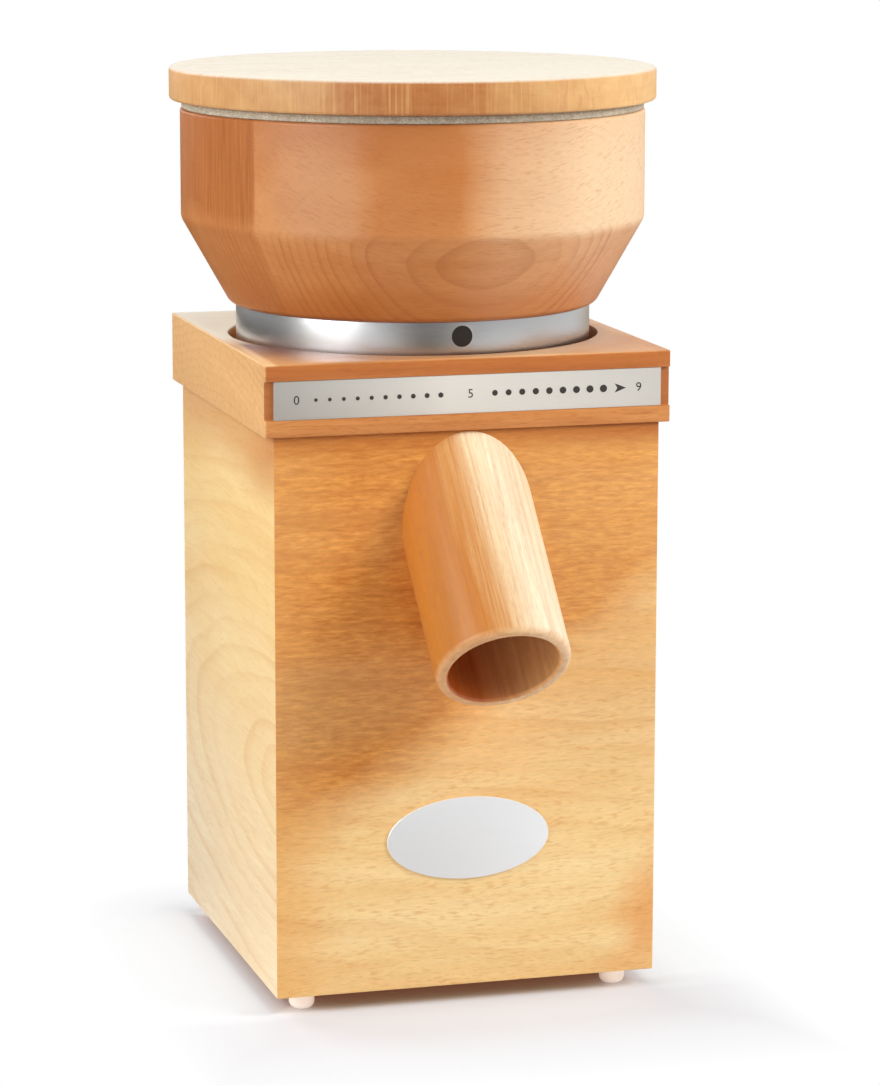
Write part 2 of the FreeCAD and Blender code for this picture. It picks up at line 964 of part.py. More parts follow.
def switch_housing():
    """The switch's body and bezel, with a pocket for the rocker and two pivot pins."""
    body = block(
        -switch_cut_x / 2,
        switch_cut_x / 2,
        switch_back,
        case_back,
        switch_height - switch_cut_z / 2,
        switch_height + switch_cut_z / 2,
    )
    bezel = block(-12.8, 12.8, case_back, bezel_front, switch_height - 15.6, switch_height + 15.6)
    bezel = bezel.makeFillet(1.5, straight_edges(bezel, V(0, 1, 0)))
    pocket = block(
        -pocket_x / 2,
        pocket_x / 2,
        pocket_back,
        bezel_front + 1,
        switch_height - pocket_z / 2,
        switch_height + pocket_z / 2,
    )
    pins = [
        Part.makeCylinder(
            trunnion_radius, 2.2, V(side * pocket_x / 2, rocker_pivot_y, switch_height), V(-side, 0, 0)
        )
        for side in (-1, 1)
    ]
    return body.fuse(bezel).cut(pocket).fuse(pins)


def switch_terminals():
    blades = []
    for x in (-6.0, 6.0):
        for z in (switch_height - 5.0, switch_height + 5.0):
            blades.append(block(x - 2.4, x + 2.4, 48.5, switch_back, z - 0.4, z + 0.4))
    return blades


def switch_rocker():
    """The rocker, a shallow V in profile, tipped to its off position."""
    reach, edge, valley, skirt = 12.0, 4.5, 2.4, -1.5
    profile = [
        (reach, skirt),
        (reach, edge),
        (0.0, valley),
        (-reach, edge),
        (-reach, skirt),
        (-2.5, -2.8),
        (2.5, -2.8),
    ]
    width = pocket_x - 0.6
    points = [V(-width / 2, y, z) for z, y in profile]
    rocker = Part.Face(Part.makePolygon(points + points[:1])).extrude(V(width, 0, 0))
    pin_way = Part.makeCylinder(
        trunnion_radius + bearing_gap, width + 2, V(-width / 2 - 1, 0, 0), V(1, 0, 0)
    )
    core = block(-width / 2 + 2.2, width / 2 - 2.2, -2, 2, -2, 2)
    rocker = rocker.cut(pin_way.cut(core))
    rocker.rotate(V(0, 0, 0), V(1, 0, 0), -rocker_tilt)
    return moved(rocker, 0, rocker_pivot_y, switch_height)


def cable_gland():
    """The flanged bush in the back board that the mains lead passes through."""
    bush = along_y(8.0, 50.0, case_back, gland_x, gland_height)
    flange = along_y(11.0, case_back, case_back + 2.5, gland_x, gland_height)
    nose = Part.makeCone(7.5, 6.0, 6.0, V(gland_x, case_back + 2.5, gland_height), V(0, 1, 0))
    bore = along_y(gland_bore, 45.0, case_back + 10, gland_x, gland_height)
    return bush.fuse([flange, nose]).cut(bore)


def gland_nut():
    corners = [
        (12.5 * math.cos(math.pi * i / 3), 12.5 * math.sin(math.pi * i / 3)) for i in range(6)
    ]
    nut = prism(corners, 0, 4.0).cut(cylinder(8.0, -1, 5))
    nut.rotate(V(0, 0, 0), V(1, 0, 0), 90)
    nut.translate(V(gland_x, inner_back, gland_height))
    return nut


def main():
    os.makedirs("parts", exist_ok=True)
    front, right, back, left = casing_walls()
    save("feet", feet())
    save("front_board", front_board(front))
    save("right_board", right)
    save("back_board", back_board(back))
    save("left_board", left)
    save("base_board", base_board())
    save("base_screws", base_screws())
    save("corner_blocks", corner_blocks())
    save("top_board", top_board())
    save("scale_strip", scale_strip())
    save("name_plate", name_plate())
    save("spout", spout())
    save("mill_chamber", mill_chamber())
    save("chamber_screws", chamber_screws())
    save("shaft_seal", shaft_seal())
    save("guide_pins", guide_pins())
    save("thread_ring", thread_ring())
    save("thread_ring_screws", well_screws())
    save("lower_stone", lower_stone())
    save("upper_stone", upper_stone())
    save("stone_carrier", stone_carrier())
    save("stone_springs", stone_springs())
    save("thread_collar", thread_collar())
    save("feed_funnel", feed_funnel())
    save("hopper_ring", hopper_ring())
    save("marker_dot", marker_dot())
    save("bowl_screws", bowl_screws())
    save("hopper_bowl", hopper_bowl())
    save("hopper_stave_front", hopper_stave(first_joint))
    save("hopper_stave_right", hopper_stave(first_joint + stave_span))
    save("hopper_stave_left", hopper_stave(first_joint + 2 * stave_span))
    save("lid_board", lid_board())
    save("lid_seal", lid_seal())
    save("motor_shaft", motor_shaft())
    save("stone_hub", stone_hub())
    save("stone_washer", stone_washer())
    save("stone_nut", stone_nut())
    save("lower_bearing", bearing(motor_low - bell_height + 1.5))
    save("upper_bearing", bearing(motor_high + bell_height - 10.5))
    save("motor_tie_bolts", tie_bolts())
    save("tie_bolt_nuts", tie_bolt_nuts())
    save("upper_end_bell", upper_end_bell())
    save("lower_end_bell", lower_end_bell())
    save("motor_housing", motor_housing())
    save("stator_core", stator_core())
    save("stator_windings", stator_windings())
    save("rotor_core", rotor_core())
    save("rotor_end_rings", rotor_end_rings())
    save("cooling_fan", cooling_fan())
    save("motor_bracket", motor_bracket())
    save("bracket_screws", bracket_screws())
    save("capacitor", capacitor())
    save("capacitor_clip", capacitor_clip())
    save("terminal_block", terminal_block())
    save("switch_housing", switch_housing())
    save("switch_terminals", switch_terminals())
    save("switch_rocker", switch_rocker())
    save("cable_gland", cable_gland())
    save("gland_nut", gland_nut())


main()
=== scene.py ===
import math
import bpy
from mathutils import Matrix, Vector


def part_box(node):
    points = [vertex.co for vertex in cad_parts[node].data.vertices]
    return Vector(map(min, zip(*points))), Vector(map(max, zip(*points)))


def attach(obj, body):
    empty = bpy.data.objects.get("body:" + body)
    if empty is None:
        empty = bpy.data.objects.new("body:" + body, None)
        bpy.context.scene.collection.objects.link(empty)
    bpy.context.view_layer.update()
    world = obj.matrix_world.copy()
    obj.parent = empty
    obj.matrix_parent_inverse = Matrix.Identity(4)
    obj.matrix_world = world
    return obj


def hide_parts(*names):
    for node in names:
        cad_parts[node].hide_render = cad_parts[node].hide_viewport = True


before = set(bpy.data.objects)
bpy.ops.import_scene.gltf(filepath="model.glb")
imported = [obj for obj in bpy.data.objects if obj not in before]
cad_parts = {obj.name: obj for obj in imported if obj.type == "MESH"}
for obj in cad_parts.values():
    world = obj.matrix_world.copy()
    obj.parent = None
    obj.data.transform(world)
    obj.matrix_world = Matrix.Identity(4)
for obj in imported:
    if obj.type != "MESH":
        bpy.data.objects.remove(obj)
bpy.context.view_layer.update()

# Places are written in millimetres from the mill's axis, z up, spout towards -y.
bowlLow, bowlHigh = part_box("hopper_bowl")
axisY = (bowlLow.y + bowlHigh.y) / 2
mm = 0.001


def spot(x, y, z):
    return Vector((x * mm, y * mm + axisY, z * mm))


# Solids and surfaces
def deselect():
    if bpy.context.object and bpy.context.object.mode != "OBJECT":
        bpy.ops.object.mode_set(mode="OBJECT")
    bpy.ops.object.select_all(action="DESELECT")


def pick(thing):
    deselect()
    thing.select_set(True)
    bpy.context.view_layer.objects.active = thing


def freeze(thing, name):
    pick(thing)
    bpy.ops.object.transform_apply(location=True, rotation=True, scale=True)
    thing.name = name
    thing.data.name = name
    return thing


def box(name, low, high):
    # low and high corners in millimetres
    deselect()
    a, b = spot(*low), spot(*high)
    bpy.ops.mesh.primitive_cube_add(size=1, location=(a + b) / 2, scale=b - a)
    return freeze(bpy.context.object, name)


def rod(name, radius, length, centre, along, sides=96):
    deselect()
    bpy.ops.mesh.primitive_cylinder_add(
        vertices=sides, radius=radius * mm, depth=length * mm, location=spot(*centre)
    )
    bpy.context.object.rotation_euler = Vector(along).to_track_quat("Z", "Y").to_euler()
    return freeze(bpy.context.object, name)


def modify(thing, kind, **values):
    pick(thing)
    bpy.ops.object.modifier_add(type=kind)
    made = thing.modifiers[-1]
    for key, value in values.items():
        setattr(made, key, value)
    bpy.ops.object.modifier_apply(modifier=made.name)


def carve(thing, *cutters, operation="DIFFERENCE"):
    for cutter in cutters:
        modify(thing, "BOOLEAN", operation=operation, object=cutter, solver="EXACT")
        pick(cutter)
        bpy.ops.object.delete()


def soften(thing, width, segments=3, angle=40):
    # rounds the sharp edges
    sharp = {"limit_method": "ANGLE", "angle_limit": math.radians(angle)}
    modify(thing, "BEVEL", width=width * mm, segments=segments, **sharp)


def smooth(thing):
    pick(thing)
    bpy.ops.object.shade_smooth_by_angle(angle=math.radians(35))


def copyOf(thing, name):
    pick(thing)
    bpy.ops.object.duplicate(linked=False)
    return freeze(bpy.context.object, name)


def rounded(corners, steps=6):
    # (radius, height, fillet) corners as points, with their arcs
    points = []
    count = len(corners)
    for i, (x, z, fillet) in enumerate(corners):
        here = Vector((x, z))
        if not fillet:
            points.append(here)
            continue
        before = (Vector(corners[i - 1][:2]) - here).normalized()
        after = (Vector(corners[(i + 1) % count][:2]) - here).normalized()
        half = before.angle(after) / 2
        centre = here + (before + after).normalized() * fillet / math.sin(half)
        first = here + before * fillet / math.tan(half) - centre
        last = here + after * fillet / math.tan(half) - centre
        sweep = first.angle_signed(last)
        for k in range(steps + 1):
            turn = Matrix.Rotation(-sweep * k / steps, 2)
            points.append(centre + turn @ first)
    return points


def drawLine(points):
    # a wire in the xz plane, vertex by vertex; edit mode stays on
    deselect()
    bpy.ops.mesh.primitive_plane_add(size=0.001, location=spot(points[0][0], 0, points[0][1]))
    bpy.ops.object.mode_set(mode="EDIT")
    bpy.ops.mesh.merge(type="CENTER")
    for a, b in zip(points, points[1:]):
        step = ((b[0] - a[0]) * mm, 0, (b[1] - a[1]) * mm)
        bpy.ops.mesh.extrude_vertices_move(TRANSFORM_OT_translate={"value": step})
    bpy.ops.mesh.select_all(action="SELECT")
    return bpy.context.object


def closeUp(thing, name):
    # leaves edit mode with every face turned outwards
    bpy.ops.mesh.select_all(action="SELECT")
    bpy.ops.mesh.normals_make_consistent(inside=False)
    bpy.ops.object.mode_set(mode="OBJECT")
    return freeze(thing, name)


def lathe(name, corners, steps=160, arcSteps=6):
    # an outline that starts on the axis stays open there, any other is closed
    line = rounded(corners, arcSteps)
    if corners[0][0] > 0:
        line.append(line[0])
    thing = drawLine(line)
    bpy.ops.mesh.remove_doubles(threshold=1e-7)
    bpy.ops.mesh.select_all(action="SELECT")
    bpy.ops.mesh.spin(
        steps=steps, angle=2 * math.pi, center=(0, axisY, 0), axis=(0, 0, 1), dupli=False
    )
    bpy.ops.mesh.select_all(action="SELECT")
    bpy.ops.mesh.remove_doubles(threshold=1e-6)
    return closeUp(thing, name)


def slab(name, points, thick):
    # a flat outline in the xz plane, thickened towards +y
    thing = drawLine(points)
    bpy.ops.mesh.edge_face_add()
    bpy.ops.mesh.extrude_region_move(TRANSFORM_OT_translate={"value": (0, thick * mm, 0)})
    return closeUp(thing, name)


def shift(thing, x, y, z):
    pick(thing)
    bpy.ops.transform.translate(value=(x * mm, y * mm, z * mm))
    return freeze(thing, thing.name)


def turned(angle, axis):
    return Matrix.Rotation(angle, 4, axis)


def stand(thing, place, *steps, off=(0, 0, 0)):
    # takes a piece drawn about the axis to its place, by turns and moves
    pose = Matrix.Translation(spot(*place))
    for step in steps:
        pose = pose @ step
    thing.matrix_world = pose @ Matrix.Translation(-spot(*off))
    return freeze(thing, thing.name)


# Shader maths
def sums(operation, swapped=False):
    def method(self, other):
        a, b = (other, self) if swapped else (self, other)
        return self.finish.math(operation, a, b)

    return method


class Sum:
    # a node's output that takes part in sums
    def __init__(self, finish, socket):
        self.finish = finish
        self.socket = socket

    __add__ = __radd__ = sums("ADD")
    __sub__ = sums("SUBTRACT")
    __rsub__ = sums("SUBTRACT", True)
    __mul__ = __rmul__ = sums("MULTIPLY")
    __truediv__ = sums("DIVIDE")
    __pow__ = sums("POWER")
    __gt__ = sums("GREATER_THAN")
    __lt__ = sums("LESS_THAN")


class Finish:
    # one material while it is made
    def __init__(self, name):
        self.material = bpy.data.materials.new(name)
        self.material.use_nodes = True
        self.tree = self.material.node_tree
        self.shader = self.tree.nodes["Principled BSDF"]
        self.place = self.node("TexCoord", {}, {}, "Object")

    def node(self, kind, settings, sockets, out=0):
        made = self.tree.nodes.new("ShaderNode" + kind)
        for key, value in settings.items():
            if key == "stops":
                self.setStops(made.color_ramp, value)
            else:
                setattr(made, key, value)
        for key, value in sockets.items():
            self.plug(made, key, value)
        return Sum(self, made.outputs[out])

    def setStops(self, ramp, stops):
        while len(ramp.elements) < len(stops):
            ramp.elements.new(0.5)
        for element, (place, colour) in zip(ramp.elements, stops):
            element.position = place
            element.color = colour if isinstance(colour, tuple) else (colour, colour, colour, 1)

    def plug(self, made, key, value):
        if isinstance(key, int):
            socket = made.inputs[key]
        else:
            socket = [s for s in made.inputs if key in (s.identifier, s.name)][0]
        if isinstance(value, Sum):
            self.tree.links.new(value.socket, socket)
        else:
            socket.default_value = value

    def math(self, operation, *values):
        return self.node("Math", {"operation": operation}, dict(enumerate(values)))

    def limit(self, value):
        return self.node("Clamp", {}, {"Value": value})

    def ramp(self, value, *stops):
        return self.node("ValToRGB", {"stops": stops}, {"Fac": value})

    def vector(self, x, y, z):
        return self.node("CombineXYZ", {}, {0: x, 1: y, 2: z})

    def reach(self, direction):
        # how far a point lies along a direction, in millimetres
        sockets = {0: self.place, 1: Vector(direction).normalized() * 1000}
        return self.node("VectorMath", {"operation": "DOT_PRODUCT"}, sockets, "Value")

    # places from the mill's axis, in millimetres
    @property
    def x(self):
        return self.reach((1, 0, 0))

    @property
    def y(self):
        return self.reach((0, 1, 0)) - axisY * 1000

    @property
    def z(self):
        return self.reach((0, 0, 1))

    @property
    def out(self):
        x, y = self.x, self.y
        return (x * x + y * y) ** 0.5

    def wavy(self, value, drift, sway):
        # a step from 0 to 1 with an uneven border
        return self.limit(value + (drift - 0.5) * sway)

    def noise(self, where, detail=2.0, roughness=0.5, scale=1.0, distortion=0.0):
        sockets = dict(Vector=where, Scale=scale, Detail=detail, Roughness=roughness)
        return self.node("TexNoise", {}, dict(sockets, Distortion=distortion))

    def cells(self, size, out="Distance"):
        return self.node("TexVoronoi", {}, {"Vector": self.place, "Scale": 1000 / size}, out)

    def mix(self, factor, a, b, how="MIX"):
        settings = dict(data_type="RGBA", blend_type=how, clamp_factor=True)
        sockets = dict(Factor_Float=factor, A_Color=a, B_Color=b)
        return self.node("Mix", settings, sockets, 2)

    def dim(self, colour, light):
        return self.mix(1.0, colour, self.vector(light, light, light), "MULTIPLY")

    def blend(self, factor, a, b):
        return self.node("MixShader", {}, {0: factor, 1: a, 2: b})

    def glow(self, kind, strength=1.0, colour=(1, 1, 1, 1)):
        return self.node(kind, {}, {"Color": colour, "Strength": strength})

    def rays(self):
        # whether a ray is seen by the camera or through glass, and whether it is a reflection
        kinds = ["Is " + kind + " Ray" for kind in ("Camera", "Transmission", "Glossy")]
        seen, clear, shine = (self.node("LightPath", {}, {}, kind) for kind in kinds)
        return self.math("MAXIMUM", seen, clear), shine

    def bump(self, height, depth):
        return self.node("Bump", {}, dict(Height=height, Distance=depth * mm, Strength=1.0))

    def done(self, **sockets):
        for key, value in sockets.items():
            self.plug(self.shader, key.replace("_", " "), value)
        return self.material


def tint(red, green, blue):
    # a colour as the eye names it, 0 to 255
    def linear(value):
        share = value / 255
        return share / 12.92 if share <= 0.04045 else ((share + 0.055) / 1.055) ** 2.4

    return (*map(linear, (red, green, blue)), 1)


# Beech, cut from a log: rings about a far pith, ray flecks along the grain, fine fibres
def beech(name, look):
    wood = Finish(name)
    grain = Vector(look["grain"]).normalized()
    facing = Vector(look["facing"]).normalized()
    x, y, z = look["shift"]
    along = wood.reach(grain) + x
    across = wood.reach(facing.cross(grain)) + y
    deep = wood.reach(facing) + z
    swayed = wood.noise(wood.vector(along / 85, across / 30, deep / 30), 2.5)
    across = across + (swayed - 0.5) * look["sway"]
    swayed = wood.noise(wood.vector(along / 60, across / 25, deep / 40), 1.5)
    deep = deep + (swayed - 0.5) * (look["sway"] * 0.6)
    end = 0
    if "ends" in look:
        # past this distance from the middle the figure turns, as on a lipped edge
        end = wood.math("ABSOLUTE", along - x) > look["ends"]
        along = along + (across * 0.4 - along) * end
        across = across * (1 - end * 0.9)
    pithSide, pithDepth, dive = look["pith"]
    side = across - pithSide
    below = deep + pithDepth + along * dive
    fromPith = (side * side + below * below) ** 0.5 * (1 - end * 0.6)
    year = wood.math("FRACT", fromPith / look["ringGap"])
    vary = wood.noise(wood.vector(fromPith / look["ringGap"] / 1.7, along / 150, 0.0), 1.0)
    late = wood.ramp(year, (0.0, 0.0), (0.5, 0.12), (0.9, 1.0), (1.0, 0.0))
    late = late * wood.ramp(vary, (0.35, 0.15), (0.65, 1.0))
    calm = look["calm"](wood) if "calm" in look else 1.0
    late = late * calm
    broad = wood.noise(wood.vector(along / 120, across / 16, deep / 16), 3, 0.55)
    broad = wood.ramp(broad, (0.3, 0.0), (0.7, 1.0))
    fibre = wood.noise(wood.vector(along / 16, across / 0.45, deep / 0.45), 3, 0.6)
    streak = wood.noise(wood.vector(along / 45, across / 2.2, deep / 2.2), 2)
    rays = wood.vector(
        along / look["fleckLong"], across / look["fleckWide"], deep / look.get("fleckDeep", 6)
    )
    fleck = wood.ramp(wood.noise(rays, 1.2, 0.5), (0.54, 0.0), (0.68, 1.0))
    crowd = wood.noise(wood.vector(along / 18, across / 7, deep / 12), 1.5)
    fleck = fleck * wood.ramp(crowd, (0.3, 0.35), (0.6, 1.0))
    if look.get("calmFleck"):
        fleck = fleck * calm
    colour = wood.mix(broad, look["pale"], look["dark"])
    if "zones" in look:
        wood.along, wood.across, wood.deep = along, across, deep
        colour = look["zones"](wood, colour)
    colour = wood.mix(late * look["ringDepth"], colour, look["ring"])
    streak = wood.ramp(streak, (0.3, 0.0), (0.75, 1.0)) * calm * look["streak"]
    colour = wood.mix(streak, colour, look["ring"])
    colour = wood.mix(fleck * look["fleck"], colour, look["fleckTint"])
    dashes = wood.vector(along / 3.0, across / 0.6, deep / look.get("dashDeep", 3.0))
    dash = wood.noise(dashes, 2, 0.7)
    light = fibre * 0.16 + dash * look.get("dash", 0.12) + 0.86
    height = fibre * 0.5 - fleck * 0.5 - late * 0.2
    return wood.done(
        Base_Color=wood.dim(colour, light),
        Roughness=look["rough"] + (fibre - 0.5) * 0.12 + fleck * 0.08,
        Normal=wood.bump(height, look.get("bump", 0.05)),
        Specular_IOR_Level=look.get("shine", 0.4),
    )


def metal(name, colour, rough, brush, strength=0.02, wear=0.1, metallic=1.0, ends=None):
    # brushed lines run "round" the axis or along "x", and are fine across
    steel = Finish(name)
    slow, fine = 28.0, 0.07
    x, y, z = steel.x, steel.reach((0, 1, 0)), steel.z
    if brush == "round":
        where = steel.vector(x / slow, y / slow, z / fine)
    else:
        where = steel.vector(x / slow, z / fine, y / (fine * 8))
    lines = steel.noise(where, 3, 0.65)
    patches = steel.noise(steel.place, 3, 0.5, 60)
    shade = (lines - 0.5) * wear + 1
    if ends:
        # painted reflection: the sheet is darker towards its ends and brighter in its middle
        shade = shade * steel.ramp(x / 140 + 0.5, *zip((0.0, 0.45, 1.0), ends))
    return steel.done(
        Base_Color=steel.dim(colour, shade),
        Metallic=metallic,
        Roughness=rough + (lines - 0.5) * 0.16 + (patches - 0.5) * 0.06,
        Normal=steel.bump(lines, strength),
    )


def cast(name, colour, rough=0.5, grit=0.6, depth=0.05, metallic=1.0):
    part = Finish(name)
    grains = part.noise(part.place, 4, 0.6, 1000 / grit)
    pools = part.noise(part.place, 2, 0.5, 70)
    shade = (grains - 0.5) * 0.3 + (pools - 0.5) * 0.15 + 1
    return part.done(
        Base_Color=part.dim(colour, shade),
        Metallic=metallic,
        Roughness=rough + (grains - 0.5) * 0.2,
        Normal=part.bump(grains, depth),
    )


def turnedSteel(name, colour, rough=0.25, pitch=0.35):
    # lathe marks: fine rings about the mill's axis
    part = Finish(name)
    marks = part.noise(part.vector(part.out / pitch, part.z / pitch, 0.0), 2)
    shade = (marks - 0.5) * 0.16 + 1
    return part.done(
        Base_Color=part.dim(colour, shade),
        Metallic=1.0,
        Roughness=rough + (marks - 0.5) * 0.15,
        Normal=part.bump(marks, 0.01),
    )


def plastic(name, colour, rough=0.4, grit=0.35, depth=0.012, coat=0.0, glow=0.0):
    part = Finish(name)
    grains = part.cells(grit)
    cloudy = part.noise(part.place, 3, 0.5, 90)
    shade = (cloudy - 0.5) * 0.12 + (grains - 0.5) * 0.06 + 1
    return part.done(
        Base_Color=part.dim(colour, shade),
        Roughness=rough + (cloudy - 0.5) * 0.12,
        Normal=part.bump(grains, depth),
        Coat_Weight=coat,
        Emission_Color=colour,
        Emission_Strength=glow,
    )


def felt(name, look):
    # matted wool: pale and dark hairs pressed together
    wool = Finish(name)
    hairs = wool.noise(wool.place, 5, 0.75, 1000 / look["hair"], 1.5)
    flocks = wool.noise(wool.place, 3, 0.6, 1000 / look["flock"])
    colour = wool.mix(wool.ramp(hairs, (0.36, 0.0), (0.64, 1.0)), look["dark"], look["pale"])
    colour = wool.mix(wool.ramp(flocks, (0.4, 0.0), (0.7, 0.5)), colour, look["fleck"])
    return wool.done(
        Base_Color=colour,
        Roughness=0.95,
        Normal=wool.bump(hairs, 0.25),
        Specular_IOR_Level=0.15,
    )


def stone(name, look):
    # corundum grains in a paler bond, with open pores
    grit = Finish(name)
    crystals = grit.cells(look["grain"])
    pores = grit.noise(grit.place, 4, 0.7, 1000 / look["pore"])
    hue = grit.node("SeparateColor", {}, {"Color": grit.cells(look["grain"], "Color")})
    colour = grit.mix(hue, look["bond"], look["crystal"])
    colour = grit.mix(grit.ramp(pores, (0.3, 0.8), (0.42, 0.0)), colour, look["shadow"])
    return grit.done(
        Base_Color=colour,
        Roughness=0.85 - crystals * 0.2,
        Normal=grit.bump(pores - crystals * 0.6, 0.25),
    )


def windings(name):
    wire = Finish(name)
    sway = wire.noise(wire.place, 2, 0.5, 90)
    turns = wire.math("SINE", (wire.out + wire.z + sway * 4) * (2 * math.pi / 0.9)) * 0.5 + 0.5
    colour = wire.mix(turns, tint(120, 52, 20), tint(214, 122, 62))
    return wire.done(
        Base_Color=colour, Metallic=0.7, Roughness=0.3 + turns * 0.1, Normal=wire.bump(turns, 0.3)
    )


def laminated(name):
    sheets = Finish(name)
    edge = sheets.math("FRACT", sheets.z / 0.5)
    edge = sheets.ramp(edge, (0.0, 0.0), (0.15, 1.0), (0.85, 1.0), (1.0, 0.0))
    spots = sheets.noise(sheets.place, 3, 0.6, 400)
    colour = sheets.mix(edge, tint(52, 50, 50), tint(142, 144, 148))
    colour = sheets.mix(sheets.ramp(spots, (0.5, 0.0), (0.75, 0.4)), colour, tint(104, 86, 72))
    return sheets.done(
        Base_Color=colour,
        Metallic=0.8,
        Roughness=0.45 + spots * 0.15,
        Normal=sheets.bump(edge, 0.08),
    )


def dress(thing, material, body=None, nodes=()):
    thing.data.materials.clear()
    thing.data.materials.append(material)
    if body:
        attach(thing, body)
    if nodes:
        smooth(thing)
        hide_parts(*nodes)


print("camera")
view = dict(
    place=(-380.712, -1360.839, 413.765), turn=-0.2798, down=0.1835, roll=0.0015,
    focal=(3983.36, 1085),
)
turn, down, roll = view["turn"], view["down"], view["roll"]
focalPixels, framePixels = view["focal"]
ahead = Vector((-math.sin(turn) * math.cos(down), math.cos(turn) * math.cos(down), -math.sin(down)))
flat = Vector((math.cos(turn), math.sin(turn), 0))
upright = flat.cross(ahead)
rightward = math.cos(roll) * flat + math.sin(roll) * upright
upward = math.cos(roll) * upright - math.sin(roll) * flat
deselect()
bpy.ops.object.camera_add()
camera = bpy.context.object
camera.name = "camera"
aim = Matrix((rightward, upward, -ahead)).transposed().to_4x4()
camera.matrix_world = Matrix.Translation(spot(*view["place"])) @ aim
camera.data.sensor_width = 36
camera.data.lens = focalPixels * camera.data.sensor_width / framePixels
camera.data.clip_start, camera.data.clip_end = 0.05, 50
bpy.context.scene.camera = camera

print("casing")
casing = dict(
    side=68.6, front=-71.4, back=71.2, low=7.0, top=203.5, wall=12.0, edge=0.4,
    outlet=(176.5, 12.0), switchHole=(11.2, 13.95, 165.0), inlet=(18.0, 32.0, 8.0),
)
frontLook = dict(
    grain=(1, 0, 0.012), facing=(0, -1, 0), shift=(40, 10, 0), sway=9, pith=(-15, 210, 0.05),
    ringGap=3.6, ringDepth=0.26, pale=tint(242, 213, 155), dark=tint(234, 192, 126),
    ring=tint(208, 140, 70), streak=0.1, dash=0.26, fleckLong=4.2, fleckWide=0.75, fleck=0.34,
    fleckTint=tint(204, 128, 58), rough=0.42,
)


def frontZones(wood, colour):
    # heartwood fills the upper left, down to a slanting border, and its brown there also serves as
    # a painted soft shadow of the spout; the rest is nearly sapwood
    x, z = wood.x, wood.z
    drift = wood.noise(wood.vector(x / 45, z / 12, 0.0), 3)
    border = wood.wavy((z - 94 - x * 0.72) / 30, drift, 0.5)
    border = wood.limit(border + wood.limit((z - 60) / 45) * 0.48)
    sideways = wood.ramp(
        x / 140 + 0.5, (0.0, 0.85), (0.2, 1.0), (0.42, 1.0), (0.62, 0.85), (0.9, 0.85), (0.99, 0.8)
    )
    level = wood.ramp(
        z / 200 + (drift - 0.5) * 0.14, (0.3, 0.95), (0.42, 1.0), (0.52, 0.84), (0.6, 0.84),
        (0.68, 1.0), (0.77, 1.0), (0.84, 0.92), (0.95, 0.95)
    )
    lines = wood.noise(wood.vector(x / 7, z / 1.3, 0.0), 3, 0.65)
    lines = wood.ramp(lines, (0.35, 0.0), (0.65, 1.0))
    brown = wood.mix(lines, tint(222, 150, 66), tint(192, 112, 36))
    bands = wood.noise(wood.vector(x / 110, (z + x * 0.03) / 5.5, 0.0), 2)
    brown = wood.mix(wood.ramp(bands, (0.52, 0.0), (0.66, 0.4)), brown, tint(180, 100, 34))
    colour = wood.mix(border * sideways * level, colour, brown)
    low = wood.wavy((-44 - x) / 22, drift, 0.8) * 0.7
    low = wood.math("MAXIMUM", low, wood.limit((20 - z) / 14) * 0.35)
    colour = wood.mix(low * wood.ramp(z / 200, (0.25, 1.0), (0.5, 0.0)), colour, tint(230, 172, 96))
    corner = wood.limit((x - 54 + (34 - z) * 0.4 + (drift - 0.5) * 30) / 14) * 0.8
    corner = corner * wood.ramp(z / 200, (0.03, 0.2), (0.09, 1.0), (0.16, 1.0), (0.34, 0.0))
    colour = wood.mix(corner, colour, tint(226, 158, 88))
    # a painted shadow under the overhang of the top board
    upper = wood.limit((z - 194) / 7) * wood.ramp(x / 140 + 0.5, (0.5, 0.66), (0.9, 0.92))
    return wood.mix(upper, colour, tint(168, 92, 36))


frontLook["zones"] = frontZones


def sideZones(wood, colour):
    # paler and pinker below, and a painted shadow close under the top board
    y, z = wood.y, wood.z
    drift = wood.noise(wood.vector(wood.along / 60, z / 25, wood.deep / 30), 2)
    forward = wood.ramp((-25 - y) / 40, (0.0, 0.66), (1.0, 0.95))
    upper = wood.limit((z - 177 + (drift - 0.5) * 14) / 18) * forward
    low = wood.ramp(z / 200 + (drift - 0.5) * 0.3, (0.1, 0.8), (0.75, 0.0))
    low = wood.limit(low + wood.limit((y + 20) / 90) * 0.5 * low)
    colour = wood.mix(low, colour, tint(251, 231, 196))
    return wood.mix(upper, colour, tint(204, 140, 80))


sideLook = dict(
    frontLook, grain=(0, 1, 0.01), facing=(-1, 0, 0), shift=(10, 60, 0), ringDepth=0.3, ringGap=7.5,
    pale=tint(244, 214, 154), dark=tint(238, 200, 134), ring=tint(216, 158, 86), streak=0.14,
    fleckLong=9.0, fleckWide=0.8, fleck=0.12, dash=0.14, sway=10, pith=(-25, -49, 0.3),
    zones=sideZones,
)
rightLook = dict(
    sideLook, facing=(1, 0, 0), shift=(95, -40, 12), pith=(-25, 170, 0.15), ringGap=4.5
)
backLook = dict(
    sideLook, grain=(1, 0, -0.015), facing=(0, 1, 0), shift=(200, 33, 5), pith=(12, 160, -0.12),
    ringGap=4.0, streak=0.18, fleck=0.3,
)

side, front, back, wall = casing["side"], casing["front"], casing["back"], casing["wall"]
low, high = casing["low"], casing["top"]
shell = box("casingShell", (-side, front, low), (side, back, high))
soften(shell, casing["edge"], 3)
# cutters reach this far past what they cut
past = 10
hollowLow = (-side + wall, front + wall, low - past)
carve(shell, box("hollow", hollowLow, (side - wall, back - wall, high + past)))


